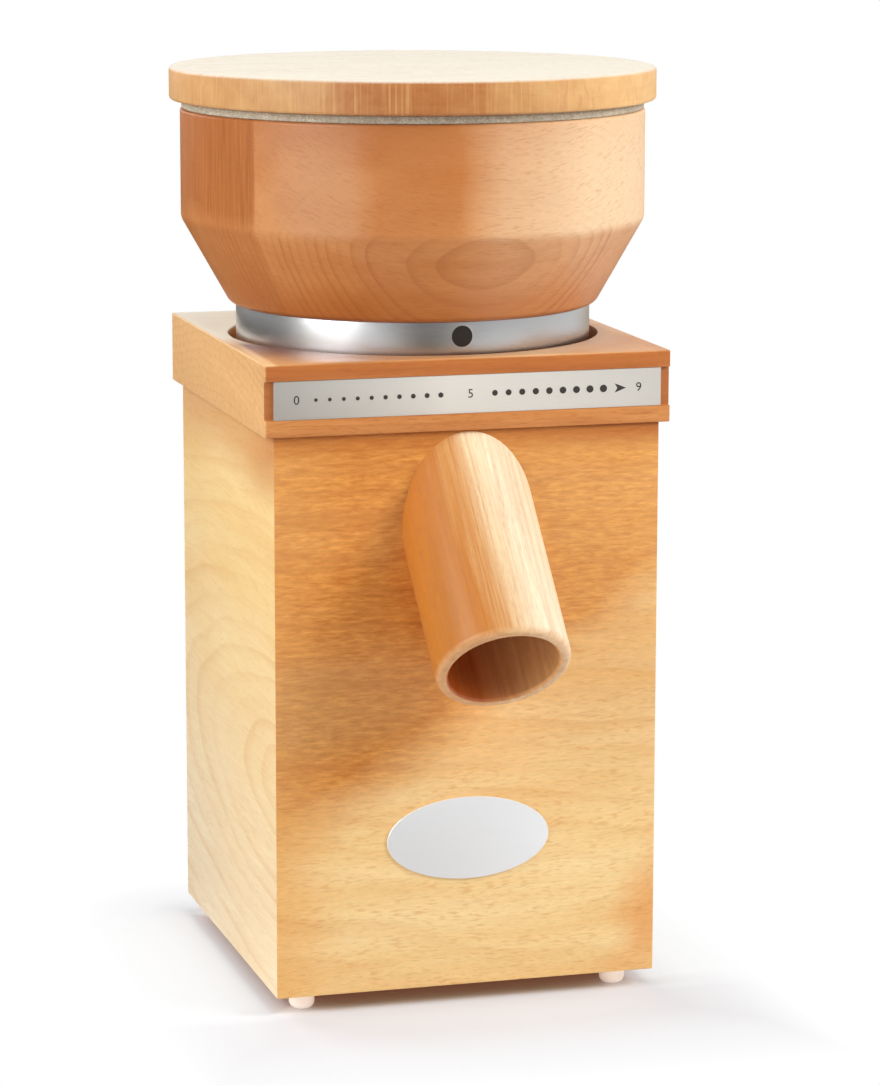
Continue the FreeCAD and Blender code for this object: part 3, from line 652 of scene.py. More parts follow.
def board(name, corners):
    # one wall of the casing, cut free along the mitres at its two corners
    thing = copyOf(shell, name)
    bpy.ops.object.mode_set(mode="EDIT")
    for x, y, nx, ny in corners:
        bpy.ops.mesh.select_all(action="SELECT")
        bpy.ops.mesh.bisect(
            plane_co=spot(x, y, 0), plane_no=(nx, ny, 0), use_fill=True, clear_outer=True
        )
    return closeUp(thing, name)


frontBoard = board("casingFront", [(-side, front, -1, 1), (side, front, 1, 1)])
leftBoard = board("casingLeft", [(-side, front, 1, -1), (-side, back, 1, 1)])
rightBoard = board("casingRight", [(side, front, -1, -1), (side, back, -1, 1)])
backBoard = board("casingBack", [(-side, back, -1, -1), (side, back, 1, -1)])
pick(shell)
bpy.ops.object.delete()
outletHeight, outletRadius = casing["outlet"]
through = 2 * (wall + past)
carve(frontBoard, rod("outlet", outletRadius, through, (0, front, outletHeight), (0, 1, 0)))
halfWide, halfTall, switchHeight = casing["switchHole"]
inletX, inletZ, inletRadius = casing["inlet"]
switchLow, switchHigh = switchHeight - halfTall, switchHeight + halfTall
carve(
    backBoard,
    box("hole", (-halfWide, back - wall - past, switchLow), (halfWide, back + past, switchHigh)),
    rod("inlet", inletRadius, through, (inletX, back, inletZ), (0, 1, 0)),
)
for thing, look, node in (
    (frontBoard, frontLook, "front_board"),
    (leftBoard, sideLook, "left_board"),
    (rightBoard, rightLook, "right_board"),
    (backBoard, backLook, "back_board"),
):
    dress(thing, beech(node + "_beech", look), "housing", [node])

print("feet")
glide = dict(
    foot=[(0, 0, 0), (4.5, 0, 2.6), (4.5, 7.0, 0.5)],
    nail=[(1.9, 7.0, 0), (1.9, 16.0, 0.4), (0, 16.0, 0)],
    places=(57.0, 60.0),
)
firstFoot = lathe("foot1", glide["foot"] + glide["nail"], 64)
smooth(firstFoot)
footX, footY = glide["places"]
# painted light: the white feet glow faintly, standing in for light that reaches into them
footWhite = plastic("glideWhite", tint(255, 240, 226), 0.35, 0.5, 0.006, 0.3, 0.27)
feet = [firstFoot] + [copyOf(firstFoot, "foot" + str(i)) for i in (2, 3, 4)]
for thing, (x, y) in zip(feet, ((-1, -1), (1, -1), (-1, 1), (1, 1))):
    shift(thing, x * footX, y * footY, 0)
    dress(thing, footWhite, "housing")
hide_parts("feet")

print("top board")
top = dict(
    side=72.0, deep=73.0, low=203.5, high=228.5, edge=0.45, well=(66.0, 215.5), hole=56.0,
    groove=(209.3, 222.7, 1.4), cutEdge=0.2,
)
wellRadius, wellFloor = top["well"]
topFace = top["high"] - 1.0
topLook = dict(
    grain=(1, 0, 0.02), facing=(0, 0, 1), shift=(15, 0, 4), sway=7, pith=(25, 45, 0.03),
    ringGap=3.1, ringDepth=0.4, pale=tint(219, 152, 90), dark=tint(197, 123, 63),
    ring=tint(168, 92, 44), streak=0.4, fleckLong=4.5, fleckWide=0.6, fleckDeep=0.7, dashDeep=0.8,
    fleck=0.4, fleckTint=tint(170, 96, 48), rough=0.4, bump=0.025, shine=0.25,
)


def topZones(wood, colour):
    # sapwood: the upper face and the left side are much paler
    x, y, z = wood.x, wood.y, wood.z
    waver = wood.noise(wood.vector(wood.along / 60, wood.across / 14, wood.deep / 14), 2)
    upper = wood.ramp((z - topFace) / 0.9 - x / 500, (0.25, 0.0), (1.0, 1.0))
    left = wood.limit((-71.2 - x) / 0.5) * 0.9
    # towards the back left the upper face is paler sapwood, brightened further as painted light
    backward = wood.wavy((y + 22) / 22, waver, 0.4)
    backward = backward * wood.ramp((0 - x) / 40, (0.2, 0.0), (0.9, 1.0))
    rim = wood.limit((-67 - x) / 2) * 0.8
    # honey brown to the left of the middle, paler to the right
    honey = wood.ramp(
        x / 140 + 0.5,
        (0.44, tint(216, 158, 102)),
        (0.54, tint(222, 172, 118)),
        (0.7, tint(235, 190, 136)),
        (0.9, tint(228, 174, 122)),
    )
    groove = wood.ramp((y + 72.6) / 0.8, (0.0, 0.0), (0.6, 1.0))
    front = wood.limit((-60 - y) / 8)
    # a painted shadow of the ring round the left front of the well, and painted light round its
    # right
    out = wood.out
    paintedRingShadow = wood.ramp((out - wellRadius) / 26 + (waver - 0.5) * 0.3, (0.15, 1.0), (1.0, 0.0))
    paintedRingShadow = paintedRingShadow * wood.ramp(
        x / 140 + 0.5, (0.18, 1.0), (0.22, 0.75), (0.27, 0.3), (0.36, 0.1), (0.5, 0.0)
    )
    paintedRingShadow = paintedRingShadow * wood.ramp((0 - y) / 60, (0.2, 0.0), (0.37, 1.0))
    paintedRingLight = wood.ramp((out - wellRadius) / 14, (0.3, 0.7), (1.0, 0.0))
    paintedRingLight = paintedRingLight * wood.ramp(x / 70, (0.2, 0.0), (0.5, 1.0))
    sap = wood.mix(paintedRingLight, honey, tint(255, 216, 172))
    sap = wood.mix(paintedRingShadow, sap, tint(132, 72, 38))
    sap = wood.mix(rim, sap, tint(250, 212, 160))
    sap = wood.mix(backward, sap, tint(255, 250, 226))
    # painted shade: the floor of the groove beside the strip is darker
    inGroove = groove * front * (wood.math("ABSOLUTE", x) < top["side"] - 0.1)
    inGroove = inGroove * wood.ramp(wood.math("ABSOLUTE", z - 216) / 10, (0.6, 0.75), (0.68, 0.0))
    colour = wood.mix(wood.limit(upper * 0.98), colour, sap)
    colour = wood.mix(left, colour, tint(234, 186, 126))
    over = wood.limit((z - 221) / 3) * 0.65 * front * (1 - upper)
    colour = wood.mix(over * (1 - left), colour, tint(184, 100, 42))
    return wood.mix(inGroove, colour, tint(166, 96, 50))


def topCalm(wood):
    # the rings hardly show in the sapwood of the upper face
    upper = wood.ramp((wood.z - topFace) / 0.9, (0.25, 0.0), (1.0, 1.0))
    faint = wood.ramp((wood.x + 72) / 50, (0.3, 0.05), (1.0, 0.35))
    leftEnd = wood.reach((-1, 0, 0)) > 71.7
    return (1 - upper * (1 - faint)) * (1 - leftEnd * 0.5)


topLook.update(zones=topZones, calm=topCalm, calmFleck=True, ends=top["side"] - 0.25)
wide, deep = top["side"], top["deep"]
topBoard = box("topBoard", (-wide, -deep, top["low"]), (wide, deep, top["high"]))
soften(topBoard, top["edge"], 4)
grooveLow, grooveHigh, grooveDeep = top["groove"]
bed = grooveDeep - deep
tall = 2 * (top["high"] - wellFloor)
carve(
    topBoard,
    rod("well", wellRadius, tall, (0, 0, top["high"]), (0, 0, 1), 192),
    rod("hole", top["hole"], 2 * tall, (0, 0, wellFloor), (0, 0, 1), 160),
    box("groove", (-wide - past, -deep - past, grooveLow), (wide + past, bed, grooveHigh)),
)
soften(topBoard, top["cutEdge"], 2, 60)
dress(topBoard, beech("topBoardBeech", topLook), "housing", ["top_board"])

print("scale")
scale = dict(
    half=68.7, front=-72.7, low=209.35, high=222.65, firstDots=(10.35, 8.85), pitch=4.87,
    fine=(1.2, 1.8), coarse=(2.0, 2.6), numbers={"0": -60.9, "5": 0.2, "9": 60.6}, numberSize=4.3,
    proud=0.05, edge=0.18,
)
half, low, high = scale["half"], scale["low"], scale["high"]
strip = box("scaleStrip", (-half, scale["front"], low), (half, bed, high))
soften(strip, scale["edge"], 2)
# the last three numbers paint a reflection along the strip: darker ends, brighter middle
steel = metal("stripSteel", tint(236, 231, 221), 0.48, "x", 0.012, 0.14, 0.4, (0.6, 1.07, 0.79))
dress(strip, steel, "housing", ["scale_strip"])
middle = (low + high) / 2
inkBlack = plastic("ink", tint(58, 52, 48), 0.55, 0.2, 0.004)


def disc(x, diameter):
    place = (x, scale["front"], middle)
    return rod("dot", diameter / 2, scale["proud"] * 2, place, (0, -1, 0), 28)


marks = []
firstFine, firstCoarse = scale["firstDots"]
for i in range(10):
    low, high = scale["fine"]
    marks.append(disc(-firstFine - scale["pitch"] * i, high - (high - low) * i / 9))
for i in range(9):
    low, high = scale["coarse"]
    marks.append(disc(firstCoarse + scale["pitch"] * i, low + (high - low) * i / 8))
tip = firstCoarse + scale["pitch"] * 9
dart = slab("arrow", [(2.1, 0), (-2.0, 1.6), (-1.0, 0), (-2.0, -1.6)], scale["proud"] * 2)
marks.append(shift(dart, tip + 1.2, scale["front"] - scale["proud"], middle))
pick(marks[0])
for mark in marks:
    mark.select_set(True)
bpy.ops.object.join()
dots = freeze(bpy.context.object, "scaleDots")
dress(dots, inkBlack, "housing")
for text, x in scale["numbers"].items():
    deselect()
    bpy.ops.object.text_add(rotation=(math.pi / 2, 0, 0))
    number = bpy.context.object
    number.data.body = text
    number.data.size = scale["numberSize"] * mm
    number.data.align_x = "CENTER"
    number.data.align_y = "CENTER"
    number.data.extrude = scale["proud"] * mm
    number.location = spot(x, scale["front"], middle)
    bpy.ops.object.convert(target="MESH")
    freeze(number, "scaleNumber" + text)
    dress(number, inkBlack, "housing")

print("oval plate")
oval = dict(half=(29.2, 14.6), front=-72.2, back=-71.4, height=60.0, edge=0.22)
wideHalf, tallHalf = oval["half"]
angles = [math.pi * i / 72 for i in range(144)]
ring = [(wideHalf * math.cos(a), tallHalf * math.sin(a)) for a in angles]
plate = slab("ovalPlate", ring, oval["back"] - oval["front"])
shift(plate, 0, oval["front"], oval["height"])
soften(plate, oval["edge"], 3)
steel = metal("plateSteel", tint(247, 249, 250), 0.46, "x", 0.01, 0.1, 0.45)
dress(plate, steel, "housing", ["name_plate"])

print("spout")
chute = dict(
    start=(0, -71.4, 170.0), tilt=0.77,
    root=[(19.4, 32.0, 0), (23.63, 32.0, 0)],
    mouth=[(23.25, -59.6, 2.2), (19.0, -59.6, 1.5)],
    bore=[(19.0, -20.1, 0), (19.4, -20.0, 0)],
)
tilt, mouthAt = chute["tilt"], -chute["mouth"][0][1]
spout = lathe("spoutTube", chute["root"] + chute["mouth"] + chute["bore"], 192, 8)
stand(spout, chute["start"], turned(tilt - math.pi / 2, "X"))
carve(spout, box("behind", (-60, chute["start"][1], 60), (60, 60, 300)))
spoutWay = Vector((0, -math.cos(tilt), -math.sin(tilt)))
spoutUp = Vector((0, -math.sin(tilt), math.cos(tilt)))
spoutLook = dict(
    grain=spoutWay, facing=(0.55, -math.sin(tilt) * 0.83, math.cos(tilt) * 0.83),
    shift=(12, 4, -40), sway=5, pith=(-18, 40, 0.02), ringGap=3.4, ringDepth=0.3,
    pale=tint(240, 208, 156), dark=tint(226, 178, 118), ring=tint(196, 124, 64), streak=0.35,
    fleckLong=4.0, fleckWide=0.5, fleck=0.22, fleckTint=tint(184, 112, 56), rough=0.34,
)


def spoutZones(wood, colour):
    # heartwood down the left side, sapwood on the right, and a bore painted dark as shade inside,
    # with painted light on its lit side
    x = wood.x
    start = spot(*chute["start"]) * 1000
    rise = wood.reach(spoutUp) - spoutUp.dot(start)
    out = (x * x + rise * rise) ** 0.5
    mouth = wood.reach(spoutWay) - spoutWay.dot(start)
    drift = wood.noise(wood.vector(wood.along / 50, x / 2.4, rise / 2.4), 3)
    heart = wood.wavy((mouth * 0.05 - 2 - x) / 13, drift, 0.9)
    sap = wood.wavy((x + 7 - mouth * 0.05) / 13, drift, 0.5)
    colour = wood.mix(sap, colour, tint(254, 240, 206))
    colour = wood.mix(heart, colour, tint(204, 126, 44))
    threads = wood.noise(wood.vector(wood.along / 60, x / 0.9, rise / 0.9), 2)
    threads = wood.ramp(threads, (0.5, 0.0), (0.64, 0.45)) * (1 - sap * 0.8)
    colour = wood.mix(threads, colour, tint(196, 116, 50))
    face = wood.limit((mouth - mouthAt + 2.6) / 2.4) * 0.7
    colour = wood.mix(face, colour, tint(238, 190, 138))
    lip = wood.ramp((out - 19.6) / 2.0, (0.0, 1.0), (0.2, 0.0))
    lit = wood.wavy((x + 4) / 20, drift, 0.5)
    boreShade = wood.mix(drift, tint(150, 50, 0), tint(190, 80, 8))
    inside = wood.mix(lit, boreShade, tint(255, 190, 116))
    return wood.mix(lip * 0.92, colour, inside)


spoutLook["zones"] = spoutZones
dress(spout, beech("spoutBeech", spoutLook), "housing", ["spout"])

print("hopper")
hopper = dict(
    dot=(3.7, 63.0, 234.5),
    ring=[(61.5, 219.2, 0.2), (63.0, 219.2, 0.3), (63.0, 239.5, 0.2), (61.5, 239.5, 0)],
    bowl=[
        (34.0, 239.5, 0), (65.0, 239.5, 4.0), (82.2, 270.0, 6.0), (82.2, 308.3, 1.0),
        (73.5, 308.3, 1.0), (73.5, 272.0, 5.0),
    ],
)
band = lathe("hopperRing", hopper["ring"], 256, 3)
dotRadius, dotOut, dotHeight = hopper["dot"]
carve(band, rod("dotHole", dotRadius, 20, (0, -dotOut, dotHeight), (0, 1, 0), 64))
steel = metal("ringSteel", tint(214, 215, 216), 0.3, "round", 0.012, 0.1)
dress(band, steel, "hopper", ["hopper_ring"])
bowl = lathe("hopperBowl", hopper["bowl"], 224, 8)
# the log's heart lay in front of this block, so its rings show as closed loops on the cone
figure = dict(angle=math.radians(4), lean=math.radians(29.4), out=76.5, height=260.0)
figureCos, figureSin = math.cos(figure["angle"]), math.sin(figure["angle"])
leanCos, leanSin = math.cos(figure["lean"]), math.sin(figure["lean"])
figureFacing = Vector((figureSin * leanCos, -figureCos * leanCos, -leanSin))
figureGrain = Vector((figureCos, figureSin, 0))
figureOut = figure["out"]
figurePlace = spot(figureSin * figureOut, -figureCos * figureOut, figure["height"]) * 1000
bowlLook = dict(
    grain=figureGrain, facing=figureFacing, shift=(30, 0, 0), sway=4,
    pith=(figurePlace.dot(figureFacing.cross(figureGrain)), -38 - figurePlace.dot(figureFacing), 0),
    ringGap=2.5, ringDepth=0.5, pale=tint(213, 145, 84), dark=tint(197, 123, 62),
    ring=tint(164, 88, 40), streak=0.12, fleckLong=4.2, fleckWide=0.55, fleckDeep=3.0, fleck=0.28,
    fleckTint=tint(172, 98, 46), rough=0.4,
)


def bowlCalm(wood):
    # the rings show on the cone and fade on the upright wall
    return wood.ramp((wood.z - 267) / 5, (0.0, 1.0), (1.0, 0.14))


def bowlZones(wood, colour):
    # the staves meet in upright joints; the left one is darker, with upright fibres
    x, y, z = wood.x, wood.y, wood.z
    jointAngle = math.radians(-146)
    past = y * math.cos(jointAngle) - x * math.sin(jointAngle)
    waver = wood.noise(wood.vector(x / 30, y / 30, z / 12), 2)
    wall = wood.limit((z - 267.5 + (waver - 0.5) * 3) / 3.5)
    fibres = wood.noise(wood.vector(x / 0.7, y / 0.7, z / 26), 3, 0.6)
    fibres = wood.ramp(fibres, (0.3, 0.0), (0.7, 1.0))
    stave = wood.mix(fibres, tint(190, 116, 56), tint(162, 88, 34))
    leftOf = wood.wavy((0 - past) / 1.5, waver, 0.8)
    leftOf = leftOf * wood.ramp((z - 266 + (waver - 0.5) * 16) / 12, (0.0, 0.4), (1.0, 1.0))
    front = wood.ramp((0 - x) / 40, (0.3, 0.0), (0.9, 1.0))
    # a pale haze at the left, redder wood in the middle and sapwood at the right
    sideways = x / 164 + 0.5 + (waver - 0.5) * 0.04
    haze = wood.ramp(sideways, (0.06, 0.0), (0.1, 0.3), (0.17, 1.0), (0.24, 1.0), (0.3, 0.0))
    middle = wood.ramp(sideways, (0.25, 0.0), (0.3, 1.0), (0.44, 0.9), (0.5, 0.0))
    sap = wood.ramp(sideways, (0.46, 0.0), (0.56, 0.55), (0.66, 0.75), (0.76, 1.0))
    sap = sap * (wall * 0.6 + 0.4)
    colour = wood.mix(haze * wall * 0.5, colour, tint(206, 152, 110))
    colour = wood.mix(middle * wall * 0.5, colour, tint(186, 112, 58))
    colour = wood.mix(sap, colour, tint(236, 200, 158))
    # a painted shade close under the lid, and deeper in tone down the cone
    under = wood.wavy((z - 291) / 14, waver, 0.6) * 0.45 * (1 - sap * 0.8)
    colour = wood.mix(under, colour, tint(168, 96, 50))
    lower = wood.wavy((266 - z) / 22, waver, 0.6) * 0.42
    colour = wood.mix(lower, colour, tint(190, 104, 40))
    return wood.mix(wood.limit(leftOf * front), colour, stave)


bowlLook.update(zones=bowlZones, calm=bowlCalm)
bowlNodes = ["hopper_bowl", "hopper_stave_front", "hopper_stave_right", "hopper_stave_left"]
dress(bowl, beech("bowlBeech", bowlLook), "hopper", bowlNodes)

print("lid")
lidTop = 323.0
cover = dict(
    plug=[(0, 305.5, 0), (72.9, 305.5, 0.8), (72.9, 311.5, 0)],
    disc=[(86.0, 311.5, 1.2), (86.0, lidTop, 1.4), (0, lidTop, 0)],
    seal=[(72.9, 308.3, 0), (81.7, 308.3, 0.9), (81.7, 311.5, 0.9), (72.9, 311.5, 0)],
)
lid = lathe("lidBoard", cover["plug"] + cover["disc"], 224, 6)
lidLook = dict(
    grain=(1, 0.12, 0), facing=(0, 0, 1), shift=(0, 20, 8), sway=8, pith=(10, 90, 0.02),
    ringGap=3.4, ringDepth=0.2, pale=tint(250, 224, 174), dark=tint(240, 198, 138),
    ring=tint(212, 150, 90), streak=0.2, fleckLong=3.2, fleckWide=0.6, fleck=0.3,
    fleckTint=tint(190, 130, 76), rough=0.42,
)


def lidZones(wood, colour):
    # the rim is redder than the faces, and the upper face is nearly cream
    x, y, z = wood.x, wood.y, wood.z
    drift = wood.noise(wood.vector(x / 12, y / 12, z / 9), 2)
    wisps = wood.noise(wood.vector(x / 0.9, y / 0.9, z / 40), 2)
    rim = wood.limit((lidTop - z) / 0.9)
    redder = wood.ramp(
        x / 172 + 0.5, (0.0, 0.5), (0.17, 0.5), (0.24, 0.85), (0.31, 1.0), (0.5, 0.95), (0.59, 0.6),
        (0.67, 0.42), (0.78, 0.25), (0.96, 0.1), (0.966, 0.7),
    )
    redder = wood.wavy(redder, drift, 0.7)
    wispy = wood.mix(redder, tint(236, 192, 128), tint(170, 94, 36))
    wispy = wood.mix(wood.ramp(wisps, (0.52, 0.0), (0.75, 0.5)), wispy, tint(232, 180, 116))
    cream = wood.mix(0.92, colour, tint(255, 248, 230))
    return wood.mix(rim, cream, wood.mix(0.93, colour, wispy))


def lidCalm(wood):
    # the rings are fainter in the upper face
    return wood.ramp((lidTop - wood.z) / 0.9, (0.0, 0.4), (1.0, 1.0))


lidLook.update(zones=lidZones, calm=lidCalm)
dress(lid, beech("lidBeech", lidLook), "lid", ["lid_board"])
seal = lathe("lidSeal", cover["seal"], 192, 4)
wool = dict(
    hair=0.5, flock=2.2, pale=tint(244, 234, 208), dark=tint(142, 132, 114),
    fleck=tint(164, 140, 118),
)
dress(seal, felt("sealFelt", wool), "lid", ["lid_seal"])

print("switch and gland")
switch = dict(
    bezel=(12.8, 15.6, 73.2), body=(11.2, 13.95, 53.0), pocket=(10.2, 12.75, 65.6), height=165.0,
    pivot=70.2, tip=-8.0, rocker=19.8, slope=(2.1, 12), edge=0.6, rockerEdge=0.35,
    outline=[
        (-1.5, 12, 0.4), (4.5, 12, 0.9), (2.4, 0, 14.0), (4.5, -12, 0.9), (-1.5, -12, 0.4),
        (-2.8, -2.5, 0), (-2.8, 2.5, 0),
    ],
)
height = switch["height"]
x, z, face = switch["bezel"]
bezel = box("switchBezel", (-x, back, height - z), (x, face, height + z))
x, z, rear = switch["body"]
carve(bezel, box("body", (-x, rear, height - z), (x, back + 0.1, height + z)), operation="UNION")
x, z, bed = switch["pocket"]
carve(bezel, box("pocket", (-x, bed, height - z), (x, face + past, height + z)))
soften(bezel, switch["edge"], 3, 60)
switchBlack = plastic("switchBlack", tint(34, 34, 36), 0.42, 0.3, 0.012)
dress(bezel, switchBlack, "housing", ["switch_housing"])
rockerWide = switch["rocker"]
rocker = slab("switchRocker", rounded(switch["outline"], 5), rockerWide)
pivot = (0, switch["pivot"], height)
tipped = turned(math.radians(switch["tip"]), "X")
stand(rocker, pivot, tipped, turned(math.pi / 2, "Z"), off=(0, rockerWide / 2, 0))
soften(rocker, switch["rockerEdge"], 2, 50)
dress(rocker, switchBlack, "rocker", ["switch_rocker"])
markWhite = plastic("markWhite", tint(228, 228, 224), 0.5, 0.2, 0.004)
rise, run = switch["slope"]


def rockerMark(thing, up):
    # laid on the rocker's face, above or below its middle
    lean = -math.copysign(math.atan2(rise, run), up)
    onFace = Matrix.Translation((0, (2.4 + rise * abs(up) / run) * mm, up * mm))
    stand(thing, pivot, tipped, onFace, turned(lean, "X"))
    dress(thing, markWhite, "rocker")


rockerMark(box("rockerBar", (-0.35, -0.05, -2.2), (0.35, 0.06, 2.2)), -6.5)
circle = rod("rockerCircle", 2.3, 0.11, (0, 0.005, 0), (0, 1, 0), 48)
carve(circle, rod("inner", 1.6, 4, (0, 0, 0), (0, 1, 0), 48))
rockerMark(circle, 6.5)

gland = dict(
    bush=[(3.7, -21.2, 0), (8.0, -21.2, 0.5), (8.0, 0, 0)],
    flange=[(11.0, 0, 0.3), (11.0, 2.5, 0.8)],
    nose=[(7.5, 2.5, 0.3), (6.0, 8.5, 0.9), (3.7, 8.5, 0.8)],
    notches=(10, 1.4, 11.9, 2),
)
bush = lathe("cableGland", gland["bush"] + gland["flange"] + gland["nose"], 96, 4)
notchCount, notchRadius, notchOut, notchHeight = gland["notches"]
for i in range(notchCount):
    angle = 2 * math.pi * i / notchCount
    centre = (notchOut * math.cos(angle), notchOut * math.sin(angle), notchHeight)
    carve(bush, rod("notch", notchRadius, 6, centre, (0, 0, 1), 20))
stand(bush, (inletX, back, inletZ), turned(-math.pi / 2, "X"))
glandBlack = plastic("glandBlack", tint(38, 38, 40), 0.38, 0.4, 0.01)
dress(bush, glandBlack, "housing", ["cable_gland"])

print("inner parts")
innerWood = dict(sideLook, grain=(1, 0, 0), facing=(0, 0, 1), rough=0.6)
blockWood = dict(innerWood, grain=(0, 0, 1), facing=(0.7, 0.7, 0), rough=0.7)
blockWood["pale"] = tint(226, 190, 140)
millGrit = dict(
    grain=0.7, pore=1.1, bond=tint(226, 220, 208), crystal=tint(196, 186, 172),
    shadow=tint(120, 112, 102),
)
finishes = [
    (beech("baseBoardBeech", innerWood), "base_board"),
    (beech("blockBeech", blockWood), "corner_blocks"),
    (plastic("dotBlack", tint(38, 32, 27), 0.5, 0.3, 0.01), "marker_dot"),
    (plastic("collarDark", tint(70, 70, 72), 0.5, 0.4, 0.015), "thread_collar"),
    (plastic("funnelDark", tint(84, 84, 86), 0.42, 0.4, 0.015), "feed_funnel"),
    (felt("shaftFelt", wool), "shaft_seal"),
    (plastic("fanDark", tint(62, 64, 68), 0.45, 0.4, 0.012), "cooling_fan"),
    (plastic("canWhite", tint(226, 226, 220), 0.3, 0.6, 0.006, 0.3), "capacitor"),
    (plastic("terminalWhite", tint(222, 218, 206), 0.45, 0.4, 0.01), "terminal_block"),
    (plastic("nutBlack", tint(38, 38, 40), 0.45, 0.4, 0.01), "gland_nut"),
    (windings("windingCopper"), "stator_windings"),
    (
        cast("castAluminium", tint(190, 192, 194), 0.45),
        "mill_chamber upper_end_bell lower_end_bell rotor_end_rings stone_carrier",
    ),
    (turnedSteel("threadRingAluminium", tint(196, 198, 200), 0.32), "thread_ring"),
    (stone("millGrit", millGrit), "upper_stone lower_stone"),
    (
        turnedSteel("machinedSteel", tint(186, 188, 192)),
        "motor_shaft stone_hub stone_washer stone_nut guide_pins upper_bearing lower_bearing",
    ),
    (
        cast("zincPlate", tint(204, 206, 204), 0.32, 1.5, 0.01),
        "base_screws chamber_screws thread_ring_screws bracket_screws bowl_screws "
        "motor_tie_bolts tie_bolt_nuts",
    ),
    (
        metal("springSteel", tint(168, 168, 172), 0.3, "round", 0.01),
        "stone_springs capacitor_clip",
    ),
    (cast("greyPaint", tint(74, 77, 82), 0.5, 1.2, 0.03, 0.0), "motor_housing motor_bracket"),
    (laminated("coreSheets"), "stator_core rotor_core"),
    (cast("tinnedBrass", tint(214, 190, 120), 0.3, 1.0, 0.008), "switch_terminals"),
]
for material, names in finishes:
    for name in names.split():
        dress(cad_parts[name], material)

print("floor, lights and background")
studio = {
    "floor": tint(238, 241, 248),
    "ambient": 0.26,
    "key": dict(place=(1020, -840, 940), aim=(0, 0, 190), size=0.7, power=19, sheen=False),
    "fill": dict(place=(-1200, -420, 760), aim=(0, 0, 150), size=0.8, power=13),
    "behind": dict(place=(-760, 1150, 980), aim=(0, 0, 180), size=0.9, power=8),
    # what polished metal sees round the room: azimuth from the front in degrees, brightness
    "room": (
        (-180, 0.2), (-150, 0.05), (-115, 0.05), (-100, 0.1), (-88, 0.42), (-72, 0.68),
        (-50, 0.94), (-40, 0.98), (-33, 0.94), (-23, 0.48), (-14, 0.12), (-4, 0.06), (8, 0.42),
        (27, 0.84), (40, 0.98), (57, 0.98), (70, 0.98), (88, 0.96), (108, 0.82), (130, 0.55),
        (150, 0.4), (180, 0.2),
    ),
    # and what upward faces see, brighter at the back
    "sky": (
        (-180, 0.85), (-150, 0.6), (-110, 0.3), (-90, 0.4), (-60, 0.8), (-35, 0.5), (-10, 0.15),
        (25, 0.5), (80, 0.6), (110, 0.7), (140, 0.95), (180, 0.95),
    ),
    # half sizes and softness of the shade under the casing, half sizes of the casing's edge,
    # and how far from it the paper has faded, at the sides and in front
    "shade": (70, 66, 16),
    "edge": (68, 71),
    "fade": (42, 90),
}
deselect()
bpy.ops.mesh.primitive_plane_add(size=12, location=(0, 0, 0))
ground = freeze(bpy.context.object, "floor")
sweep = Finish("floorPaper")
speckle = sweep.noise(sweep.place, 3, 0.5, 300)
shadeX, shadeY, shadeSoft = studio["shade"]
edgeX, edgeY = studio["edge"]
farX, farY = sweep.math("ABSOLUTE", sweep.x), sweep.math("ABSOLUTE", sweep.y)
under = sweep.limit(sweep.math("MINIMUM", shadeX - farX, shadeY - farY) / shadeSoft)
paperTone = sweep.mix(speckle * 0.1, studio["floor"], tint(230, 232, 238))
pastX = sweep.math("MAXIMUM", farX - edgeX, 0.0)
pastY = sweep.math("MAXIMUM", sweep.y - edgeY, 0.0)
away = (pastX * pastX + pastY * pastY) ** 0.5
ahead = -edgeY - sweep.y
frontal = sweep.limit((ahead + 14) / 18)
# painted shadow: the paper is a little greyer just in front of the casing
paperTone = sweep.mix(frontal, paperTone, (0.87, 0.862, 0.855, 1), "MULTIPLY")
# painted shadow under the casing: the paper is painted dark there, and a painted glow stands in for
# the light that bounces between the wood and the paper
sweep.done(
    Base_Color=sweep.mix(under * 0.97, paperTone, tint(92, 34, 14)),
    Roughness=0.9,
    Specular_IOR_Level=0.1,
    Emission_Color=sweep.mix(under, (0, 0, 0, 1), tint(100, 66, 48)),
    Emission_Strength=1.0,
)
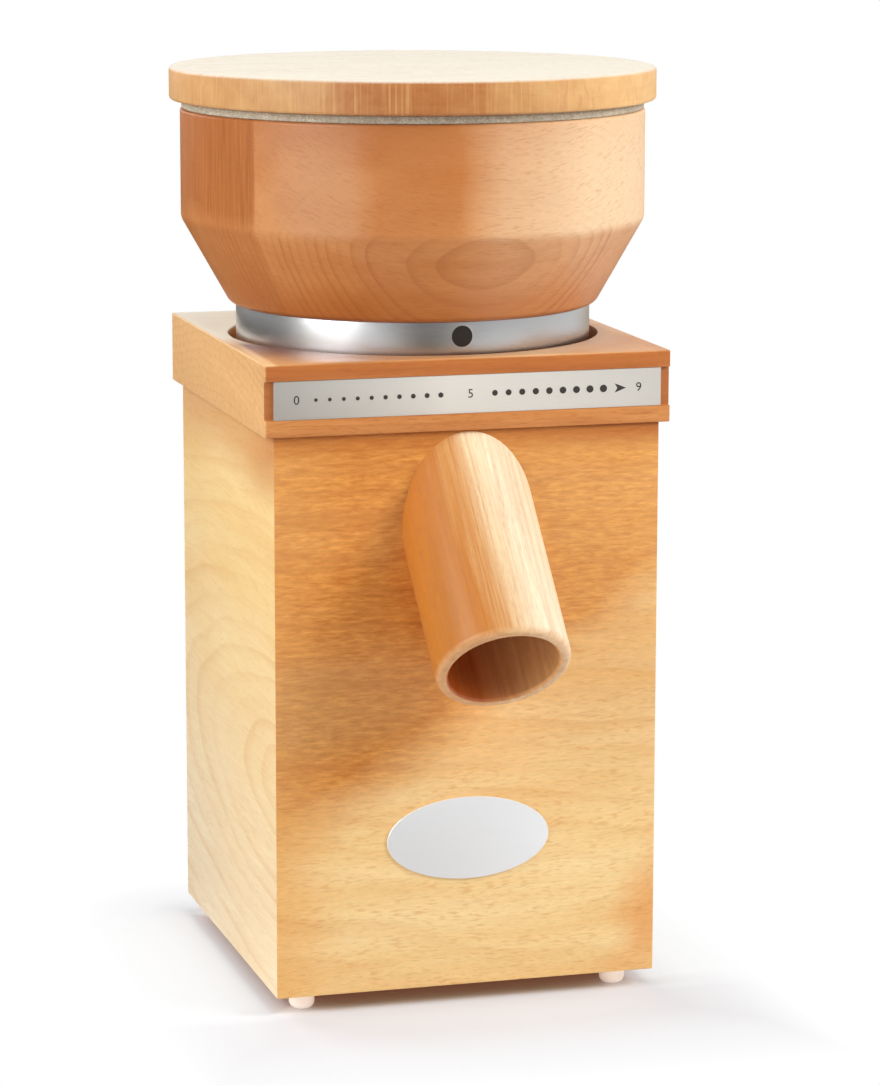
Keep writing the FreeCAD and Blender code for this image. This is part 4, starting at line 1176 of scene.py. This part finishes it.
# the paper fades into the white background all round the casing
fadeSide, fadeFront = studio["fade"]
pastSide = sweep.ramp(away / fadeSide, (0.0, 0.0), (0.1, 0.42), (0.4, 0.76), (1.0, 1.0))
gentle = sweep.ramp(away / fadeSide, (0.0, 0.0), (0.5, 0.35), (1.0, 1.0))
pastSide = pastSide + (gentle - pastSide) * frontal
pastFront = sweep.ramp(ahead / fadeFront, (0.0, 0.0), (0.3, 0.1), (0.6, 0.6), (1.0, 1.0))
fade = sweep.math("MAXIMUM", pastSide, pastFront)


def roomLight(paint, x, y, part):
    # brightness of the room in the direction (x, y), front being -y
    angle = paint.math("ARCTAN2", x, 0 - y) / (2 * math.pi) + 0.5
    stops = [((degrees + 180) / 360, value) for degrees, value in studio[part]]
    return paint.ramp(angle, *stops)


room = roomLight(sweep, sweep.x, sweep.y, "room")
warmth = sweep.ramp(room, (0.45, (1.0, 0.8, 0.58, 1)), (0.78, 1.0))
room = sweep.mix(1.0, warmth, room, "MULTIPLY")
paper = Sum(sweep, sweep.shader.outputs[0])
straight, shine = sweep.rays()
shown = sweep.blend(fade * straight, paper, sweep.glow("Emission"))
shown = sweep.blend(fade * shine, shown, sweep.glow("Emission", 1.0, room))
sweep.plug(sweep.tree.nodes["Material Output"], "Surface", shown)
dress(ground, sweep.material)


def lamp(name, look):
    bpy.ops.object.light_add(type="AREA", location=spot(*look["place"]))
    light = bpy.context.object
    light.name = name
    toward = spot(*look["aim"]) - light.location
    light.rotation_euler = toward.to_track_quat("-Z", "Y").to_euler()
    light.data.size = look["size"]
    light.data.energy = look["power"]
    light.visible_glossy = look.get("sheen", True)


for name in ("key", "fill", "behind"):
    lamp(name, studio[name])


class Air(Finish):
    # the world's own nodes, made the same way
    def __init__(self, name):
        self.world = bpy.data.worlds.new(name)
        self.world.use_nodes = True
        self.tree = self.world.node_tree
        self.tree.nodes.clear()
        self.place = self.node("TexCoord", {}, {}, "Generated")


air = Air("studioAir")
bpy.context.scene.world = air.world
even = air.glow("Background", studio["ambient"])
around = roomLight(air, air.reach((1, 0, 0)), air.reach((0, 1, 0)), "sky")
straight, shine = air.rays()
shown = air.blend(shine, even, air.glow("Background", 1.0, around))
shown = air.blend(straight, shown, air.glow("Background"))
air.plug(air.tree.nodes.new("ShaderNodeOutputWorld"), "Surface", shown)
bpy.context.scene.view_settings.view_transform = "Standard"
